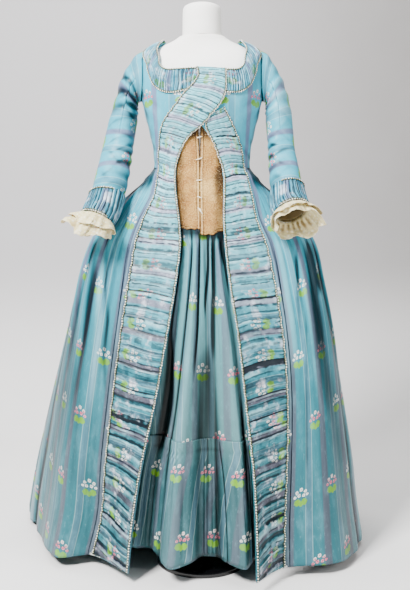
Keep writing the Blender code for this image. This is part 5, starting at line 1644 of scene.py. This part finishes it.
def petticoat_sheet():
    s = joined_steps((-7, 34), (-2.2, 230), (2.2, 34), (7,))[None]
    z = rows_of(PETTICOAT_HEM, WAIST_ROW, PETTICOAT_ROWS)
    points = petticoat_points(s, z)
    run = arc_across(points)
    middle = np.argmin(np.abs(s[0]))
    run = run - run[:, middle:middle + 1]
    height = petticoat_height(s, z)
    # Painted shadow under the linen's hem, and painted shade in the folds' hollows and in the listed valleys.
    under = 0.8 * rise(z, 0.846, 0.018)
    crease = 0.28 * hollows(height, 8, 0.0050) + 0.16 * hollows(height, 34, 0.0130)
    crease = np.clip(crease + 1.05 * valleys(s, z) + under, -1.0, 1.0)
    return points, mix(run, run[:1], 0.22) + 0.026, down_from_waist(points), crease


def flounce_sheet():
    s = columns_of(-FLOUNCE_REACH, FLOUNCE_REACH, FLOUNCE_COLUMNS)
    z = joined_steps((FLOUNCE_HEM, 36), (FLOUNCE_SEAM, 9), (FLOUNCE_TOP,))[:, None]
    heights = (FLOUNCE_HEM, 0.15, 0.25, FLOUNCE_SEAM - 0.01, FLOUNCE_SEAM, FLOUNCE_SEAM + 0.008, FLOUNCE_TOP)
    depth = curve(heights, (0.0070, 0.0062, 0.0050, 0.0018, 0.0004, 0.0018, 0.0034), z)
    phase = 15 * s + 1.3 * wander(s * 3, 3) + 0.25 * wander(z * 7 + s * 2, 4)
    puff = puffs(phase * 0.5, 0.9) * (0.6 + 0.4 * wander(s * 7, 8))
    points = petticoat_points(s, z, 0.0020 + depth * puff)
    run = arc_across(points)
    # Painted shade along the seam's groove, in the folds, their hollows and the listed valleys, and painted
    # shade and highlights of small ruches just below the seam on the right.
    seam_shade = 0.12 * bell(z, FLOUNCE_SEAM, 0.004)
    fold = tight_folds(phase * 0.5, 0.0, 0.14) * rise(z, 0.12, 0.16)
    height = petticoat_height(s, z)
    painted_ruching = 0.9 * bell(z, 0.318, 0.016) * bell(s, -0.50, 0.14) * sin(s * 95 + 3 * sin(z * 150))
    crease = 0.22 * hollows(height, 14, 0.0050) + 0.16 * hollows(height, 60, 0.0130) + 0.9 * valleys(s, z)
    crease = crease + 0.35 * fold + seam_shade - painted_ruching
    return points, mix(run, run[:1], 0.3) + 0.04, down_from_waist(points) + 0.08, np.clip(crease, -1, 1)


def linen_sheet(side):
    f = joined_steps((0.0, 12), (0.11, 26), (1.0,))[None]
    rows = joined_steps((0.0, 8), (0.06, 34), (1.0,))[:, None]
    bottom = {1: 0.862, -1: 0.876}[side] + {1: 0.009, -1: 0.001}[side] * rise(f, 0.45, 0.25)
    z = mix(bottom + 0.0012 * sin(f * 23 + side), WAIST_ROW, rows)
    h = rows_of(1.038, 1.195, 40)
    centre = {1: -0.0045 + 0.0 * h, -1: 0.0056 + 0.0024 * rise(h, 1.05, 0.07)}[side]
    t = mix(-1 + centre[0, 0] / EDGE_AT_WAIST[side], 0.42, f)
    cockle = 0.0009 * wander(z * 30 + t * 3, side) * but_ends(f, 10)
    near = np.maximum(np.abs(t + 1), 0.004) - 1 + 0.0 * z
    off = LINEN_OFF - PETTICOAT_OFF + cockle
    here, there = (petticoat_base(way, near, z + 0.0 * t, off) for way in (side, -side))
    low = np.where((t + 0.0 * z < -1)[..., None], there, here)
    start = np.sign(centre) * angle_at(np.abs(centre), h)
    u = mix(start, waist_angle(side, 0.42 + 0.0 * h, h), f)
    high = mirror(side, torso(u, h + 0.0 * u, LINEN_OFF + 0.0005 * wander(h * 20 + f * 4, side)))
    points = np.concatenate([low, high])
    run = arc_across(points)
    up = arc_up(points)
    level = np.concatenate([z, h + 0.0 * f])
    # Painted shade along a line near the inner edge with a painted highlight beside it, in the gap at the
    # middle, wider at the top, and along the bottom edge; painted shade towards the robings, and under them
    # at the top.
    open_top = 1.0 + 0.9 * rise(level, 1.05, 0.06)
    crease = 0.85 * bell(run, 0.0080, 0.0010) - 0.7 * bell(run, 0.0045, 0.0018)
    crease = crease + {1: 0.9, -1: 1.5}[side] * bell(run, 0.0, 0.0018 * open_top)
    crease = crease + 1.1 * bell(up, 0.0, 0.0022) + 0.5 * bell(up, 0.008, 0.001)
    most = {1: 0.95, -1: 0.70}[side]
    robing_shade = ease((f - 0.33 + 0.05 * wander(level * 30, side)) / 0.30)
    robing_shade = robing_shade * mix(0.55, most, rise(level, 0.92, 0.1))
    under = rise(level, 1.085, 0.045) * fall(f, 0.75, 0.5)
    return points, run, level, np.clip(crease + robing_shade + 1.1 * under, -1.0, 1.0)


# ---- edgings and cords

def cord_along(name, path, out, radius, look, sides=5):
    """A thin cord over a path of points, out being square to what it lies on."""
    run = unit(np.gradient(path, axis=0))
    side = unit(np.cross(run, out))
    up = unit(np.cross(side, run))
    angle = np.linspace(0.0, 2 * pi, sides + 1)
    ring = side[:, None] * cos(angle)[None, :, None] + up[:, None] * sin(angle)[None, :, None]
    points = path[:, None] + ring * np.broadcast_to(radius, len(path))[:, None, None]
    length = arc_up(points)
    around = np.broadcast_to(angle[None] * np.mean(radius), length.shape)
    piece = sheet_mesh(name, points, around, length, True)
    merge_doubles(piece)
    shape = bmesh.new()
    shape.from_mesh(piece.data)
    bmesh.ops.holes_fill(shape, edges=shape.edges, sides=sides)
    bmesh.ops.recalc_face_normals(shape, faces=shape.faces)
    shape.to_mesh(piece.data)
    shape.free()
    finish_piece(piece, look)


def read_off(at, places, rows):
    """Each column of rows, known at places, read off at others."""
    return np.stack([np.interp(at, places, rows[:, k]) for k in range(3)], axis=-1)


def resampled(path, step):
    """The same line with points a step apart, and how far along it they are."""
    run = np.concatenate([[0.0], np.cumsum(strides(path))])
    at = np.linspace(0.0, run[-1], max(int(run[-1] / step), 4))
    return read_off(at, run, path), at


def gimp(name, edge, inner):
    """Cream picot cord with a green core along an edge; inner is the same line further onto the cloth."""
    path, at = resampled(edge, PICOT / 5)
    inside, _ = resampled(inner, PICOT / 5)
    inside = read_off(np.linspace(0, 1, len(path)), np.linspace(0, 1, len(inside)), inside)
    across = unit(inside - path)
    run = unit(np.gradient(path, axis=0))
    out = unit(np.cross(across, run))
    out = np.where((np.sum(out * path * np.array((1.0, 1.0, 0.0)), axis=-1) < 0)[:, None], -out, out)
    loops = PICOT_RADIUS + PICOT_LOOP * np.clip(cos(2 * pi * at / PICOT), 0.0, 1.0)
    cord_along(name, path + across * PICOT_PLACE[0] + out * PICOT_PLACE[1], out, loops, "gimp", 4)
    core_path, core_at = resampled(path + across * CORE_PLACE[0] + out * CORE_PLACE[1], CORE_STEP)
    cord_along(name + "_core", core_path, unit(read_off(core_at, at, out)), CORE_RADIUS, "core", 4)


def linen_front(x, z, off):
    """A point in front of the linen, at a distance from the middle."""
    side = 1 if x >= 0 else -1
    if z > WAIST_ROW:
        return mirror(side, torso(angle_at(np.array(abs(x)), np.array(z)), np.array(z), LINEN_OFF + off))
    t = abs(x) / EDGE_AT_WAIST[side] - 1
    return petticoat_base(side, np.array([t]), np.array([z]), LINEN_OFF - PETTICOAT_OFF + off)[0]


# ---- sizes, colours and operators

def length_of(name, description, default):
    return bpy.props.FloatProperty(name=name, description=description, default=default, subtype="DISTANCE",
                                   unit="LENGTH")


def colour_of(name, description, *screen):
    return bpy.props.FloatVectorProperty(name=name, description=description, default=tint(*screen),
                                         subtype="COLOR", size=3, min=0.0, max=1.0)


class RobeSizes(bpy.types.PropertyGroup):
    """Sizes of the gown's trimmings and of its cloth."""

    robing_gathers: bpy.props.FloatProperty(
        name="Robing gathers", description="Folds in each metre of robing", default=31.0)
    collar_gathers: bpy.props.FloatProperty(
        name="Collar gathers", description="Puffs round each collar", default=36.0)
    cuff_gathers: bpy.props.IntProperty(name="Cuff gathers", description="Puffs round each cuff", default=27)
    puff: length_of("Puff height", "How far the gathered bands stand up between their folds", 0.0052)
    wall: length_of("Silk", "Thickness of the silk with its lining", 0.0009)
    gauze: length_of("Cotton", "Thickness of the ruffles", 0.0005)


class RobeColours(bpy.types.PropertyGroup):
    """Colours of the silk and of the plain cloths."""

    silk_low: colour_of("Silk near the hem", "Ground of the silk low down", 40, 104, 114)
    silk_middle: colour_of("Silk at the knee", "Ground of the silk in the middle", 46, 132, 148)
    silk_high: colour_of("Silk of the bodice", "Ground of the silk high up", 66, 168, 192)
    trim_middle: colour_of("Robings at the knee", "Ground of the gathered bands in the middle", 54, 144, 160)
    trim_high: colour_of("Bodice's gathered bands", "Ground of the gathered bands high up", 112, 208, 222)
    mauve_low: colour_of("Mauve near the hem", "Mauve stripe low down", 82, 82, 96)
    mauve_high: colour_of("Mauve of the bodice", "Mauve stripe high up", 112, 108, 142)
    line: colour_of("White lines", "Pair of thin lines", 180, 206, 208)
    petal_white: colour_of("White petals", "Petals of the white sprigs", 246, 244, 236)
    petal_pink: colour_of("Pink petals", "Petals of the pink sprigs", 226, 92, 122)
    petal_shade: colour_of("Petal shading", "Threads between the white petals", 150, 150, 148)
    leaf: colour_of("Leaves", "Leaves of the sprigs", 112, 168, 0)
    cotton: colour_of("Cotton", "Ruffles", 232, 220, 172)
    cotton_shade: colour_of("Aged cotton", "Darker parts of the ruffles", 200, 178, 122)
    linen: colour_of("Linen", "Under-fronts", 184, 142, 78)
    linen_shade: colour_of("Soiled linen", "Darker parts of the under-fronts", 160, 114, 60)
    cover: colour_of("Form's cover", "Cotton of the dress form", 255, 254, 250)


class MakeForm(bpy.types.Operator):
    """Make the padded form, its neck cap, pole and foot."""

    bl_idname = "robe.make_form"
    bl_label = "Form and stand"

    def execute(self, context):
        angle = columns_of(0.0, 360.0, 121)

        def rings(level, shares):
            shares = np.array(shares)[:, None]
            skin = torso_skin(angle, np.full((len(shares), 1), level))
            return skin * np.stack([shares, shares, 1 + 0 * shares], axis=-1)

        levels = np.linspace(FORM_BOTTOM, FORM_NECK, 90)
        top = rings(FORM_NECK, (0.97, 0.85, 0.5, 0.0))
        top[..., 2] -= np.array((0.0002, 0.0004, 0.0004, 0.0004))[:, None]
        bottom = rings(FORM_BOTTOM, (0.0, 0.35, 0.7, 0.92))
        points = np.concatenate([bottom, torso_skin(angle, levels[:, None]), top])
        body = sheet_mesh("form_cover", points, angle * 0.002 + 0 * points[..., 0], points[..., 2], False)
        merge_doubles(body)
        finish_piece(body, "cover", ["form_torso"])
        low = FORM_NECK + SEAM
        turned("neck_cap", ((0.0, low), (0.0515, low), (0.0522, low + 0.002), (0.0518, low + 0.012),
                            (0.0512, CAP_TOP - 0.030), (0.0505, CAP_TOP - 0.018), (0.0470, CAP_TOP - 0.0115),
                            (0.040, CAP_TOP - 0.0075), (0.030, CAP_TOP - 0.0042), (0.018, CAP_TOP - 0.0015),
                            (0.008, CAP_TOP - 0.0003), (0.0, CAP_TOP)), 64, "cover", "form_neck_cap")
        low = FOOT_TOP + SEAM
        high = FORM_BOTTOM - SEAM
        turned("pole", ((0.0, low), (0.0175, low), (0.0175, FOOT_TOP + 0.012), (0.014, FOOT_TOP + 0.015),
                        (0.014, high), (0.0, high)), 48, "steel", "stand_pole")
        turned("foot", ((0.0, 0.0), (FOOT_RADIUS - 0.002, 0.0), (FOOT_RADIUS, 0.002), (FOOT_RADIUS, 0.009),
                        (FOOT_RADIUS - 0.001, 0.0115), (FOOT_RADIUS - 0.004, 0.0130),
                        (FOOT_RADIUS - 0.014, 0.014), (0.085, 0.0163), (0.060, 0.019), (0.040, 0.0245),
                        (0.028, FOOT_TOP - 0.008), (0.025, FOOT_TOP - 0.003), (0.022, FOOT_TOP),
                        (0.0, FOOT_TOP)), 96, "enamel", "stand_base")
        return {"FINISHED"}


class MakePetticoat(bpy.types.Operator):
    """Make the petticoat and the gathered flounce on its foot."""

    bl_idname = "robe.make_petticoat"
    bl_label = "Petticoat"

    def execute(self, context):
        cloth("petticoat_sheet", petticoat_sheet(), "under", "gathered", ["form_torso"], (1.3, 1.0),
              tube=True)
        cloth("flounce_sheet", flounce_sheet(), "under", "gathered", ["petticoat_sheet"], (1.3, 1.0),
              outward=True)
        return {"FINISHED"}


class MakeLinen(bpy.types.Operator):
    """Make the linen under-fronts and their lacing."""

    bl_idname = "robe.make_linen"
    bl_label = "Linen fronts"

    def execute(self, context):
        for side, name in SIDE_NAMES.items():
            cloth(f"linen_{name}_sheet", linen_sheet(side), "linen", "stretched",
                  ["form_torso", "petticoat_sheet"], mirrored=side < 0)
        for k, (x0, z0, x1, z1) in enumerate(LACING):
            bow = [(f, LACE_LIFT + LACE_BOW * sin(pi * f)) for f in np.linspace(0.0, 1.0, 9)]
            path = np.stack([linen_front(mix(x0, x1, f), mix(z0, z1, f), off) for f, off in bow])
            cord_along(f"lacing_{k}", path, np.broadcast_to(FORWARD, path.shape), LACE_RADIUS, "lace", 6)
        return {"FINISHED"}


class MakeFronts(bpy.types.Operator):
    """Make the gown's fronts and the pieces under the arms."""

    bl_idname = "robe.make_fronts"
    bl_label = "Fronts"

    def execute(self, context):
        for side, name in SIDE_NAMES.items():
            cloth(f"front_{name}_sheet", front_points(side), "silk", "hung",
                  ["form_torso", f"linen_{name}_sheet"], mirrored=side < 0)
            cloth(f"bodice_side_{name}_sheet", bodice_side_points(side), "silk", "stretched", ["form_torso"],
                  mirrored=side < 0)
        return {"FINISHED"}


class MakeSkirt(bpy.types.Operator):
    """Make the skirt's sides and the pleated sack back."""

    bl_idname = "robe.make_skirt"
    bl_label = "Skirt and back"

    def execute(self, context):
        for side, name in SIDE_NAMES.items():
            cloth(f"skirt_side_{name}_sheet", skirt_side_points(side), "silk", "gathered",
                  ["petticoat_sheet"], (1.15, 1.0), mirrored=side < 0)
        halves = zip(back_half_points(1), back_half_points(-1))
        sheet = [np.concatenate([left, right[:, -2::-1]], axis=1) for left, right in halves]
        cloth("back_sheet", sheet, "silk", "hung", ["form_torso", "petticoat_sheet"], (1.3, 1.0))
        return {"FINISHED"}


class MakeRobings(bpy.types.Operator):
    """Make the gathered robings and the collar, with gimp along their edges."""

    bl_idname = "robe.make_robings"
    bl_label = "Robings and collar"

    def execute(self, context):
        for side, name in SIDE_NAMES.items():
            below = [f"front_{name}_sheet"]
            sheet = robing_sheet(side)
            cloth(f"robing_{name}_sheet", sheet, "trim", "gathered", below, (1.0, 1.25), outward=True,
                  mirrored=side < 0)
            gimp(f"robing_{name}_inner_gimp", sheet[0][:, 0], sheet[0][:, 2])
            gimp(f"robing_{name}_outer_gimp", sheet[0][:, -1], sheet[0][:, -3])
            sheet = collar_sheet(side)
            cloth(f"collar_{name}_sheet", sheet, "fine", "gathered", below, (1.25, 1.0), outward=True,
                  mirrored=side < 0)
            gimp(f"collar_{name}_outer_gimp", sheet[0][0], sheet[0][2])
            gimp(f"collar_{name}_inner_gimp", sheet[0][-1], sheet[0][-3])
        return {"FINISHED"}


class MakeSleeves(bpy.types.Operator):
    """Make the sleeves, their gathered cuffs and the cotton ruffles."""

    bl_idname = "robe.make_sleeves"
    bl_label = "Sleeves"

    def execute(self, context):
        for side, name in SIDE_NAMES.items():
            ways = {"tube": True, "mirrored": side > 0}
            below = [f"sleeve_{name}_sheet"]
            cloth(f"sleeve_{name}_sheet", sleeve_sheet(side), "silk", "hung", [f"front_{name}_sheet"], **ways)
            sheet = cuff_sheet(side)
            cloth(f"cuff_{name}_sheet", sheet, "fine", "gathered", below, (1.25, 1.0), outward=True, **ways)
            gimp(f"cuff_{name}_top_gimp", sheet[0][0], sheet[0][2])
            gimp(f"cuff_{name}_end_gimp", sheet[0][-1], sheet[0][-3])
            for tier in ("lower", "upper"):
                cloth(f"ruffle_{tier}_{name}_sheet", ruffle_sheet(side, tier), "cotton", "gathered", below,
                      (1.3, 1.0), **ways)
        return {"FINISHED"}


def area_light(name, place, target, size, power):
    bpy.ops.object.light_add(type="AREA", location=place)
    light = bpy.context.object
    light.name = name
    light.data.shape = "RECTANGLE"
    light.data.size, light.data.size_y = size
    light.data.energy = power
    light.rotation_euler = (Vector(target) - Vector(place)).to_track_quat("-Z", "Y").to_euler()


class MakeStage(bpy.types.Operator):
    """Make the studio sweep, its lights and the camera."""

    bl_idname = "robe.make_stage"
    bl_label = "Studio"

    def execute(self, context):
        turn = np.radians(np.linspace(0, 90, 14))
        y = np.concatenate([[-SWEEP_HALF], WALL_Y - SWEEP_RADIUS * (1 - sin(turn)), [WALL_Y]])[:, None]
        z = np.concatenate([[0.0], SWEEP_RADIUS * (1 - cos(turn)), [SWEEP_HALF]])[:, None]
        x = columns_of(-SWEEP_HALF, SWEEP_HALF, 3)
        sweep = sheet_mesh("studio_sweep", points_of(x, y, z), x + 0 * y, y + 0 * x, False)
        sweep.data.materials.append(studio_look("studio_paint"))
        sweep.data.shade_smooth()
        for light in LIGHTS:
            area_light(*light)
        world = bpy.data.worlds.new("studio_air")
        world.use_nodes = True
        air = world.node_tree.nodes["Background"].inputs
        air[0].default_value = (0.82, 0.85, 0.90, 1.0)
        air[1].default_value = 0.15
        bpy.context.scene.world = world
        bpy.ops.object.camera_add(location=CAMERA_PLACE, rotation=(pi / 2, 0.0, 0.0))
        camera = bpy.context.object
        camera.name = "camera"
        lens = camera.data
        lens.sensor_fit = "VERTICAL"
        lens.sensor_height = 36.0
        lens.lens = FOCAL_PIXELS / PICTURE_HEIGHT * lens.sensor_height
        lens.shift_x, lens.shift_y = (shift / PICTURE_HEIGHT for shift in SHIFT_PIXELS)
        lens.dof.use_dof = False
        bpy.context.scene.camera = camera
        return {"FINISHED"}


STEPS = (MakeForm, MakePetticoat, MakeLinen, MakeFronts, MakeSkirt, MakeRobings, MakeSleeves, MakeStage)


class RobePanel(bpy.types.Panel):
    """Lists the steps that make the robe."""

    bl_idname = "VIEW3D_PT_robe"
    bl_label = "Robe a la francaise"
    bl_space_type = "VIEW_3D"
    bl_region_type = "UI"
    bl_category = "Robe"

    def draw(self, context):
        for step in STEPS:
            self.layout.operator(step.bl_idname)
        for group in (context.scene.robe_sizes, context.scene.robe_colours):
            for name in group.__annotations__:
                self.layout.prop(group, name)


CLASSES = (RobeSizes, RobeColours) + STEPS + (RobePanel,)


def register():
    for made in CLASSES:
        bpy.utils.register_class(made)
    bpy.types.Scene.robe_sizes = bpy.props.PointerProperty(type=RobeSizes)
    bpy.types.Scene.robe_colours = bpy.props.PointerProperty(type=RobeColours)


def unregister():
    del bpy.types.Scene.robe_colours
    del bpy.types.Scene.robe_sizes
    for made in reversed(CLASSES):
        bpy.utils.unregister_class(made)


def main():
    register()
    for step in STEPS:
        getattr(bpy.ops.robe, step.bl_idname.split(".")[1])()
    deselect()


if __name__ == "__main__":
    main()
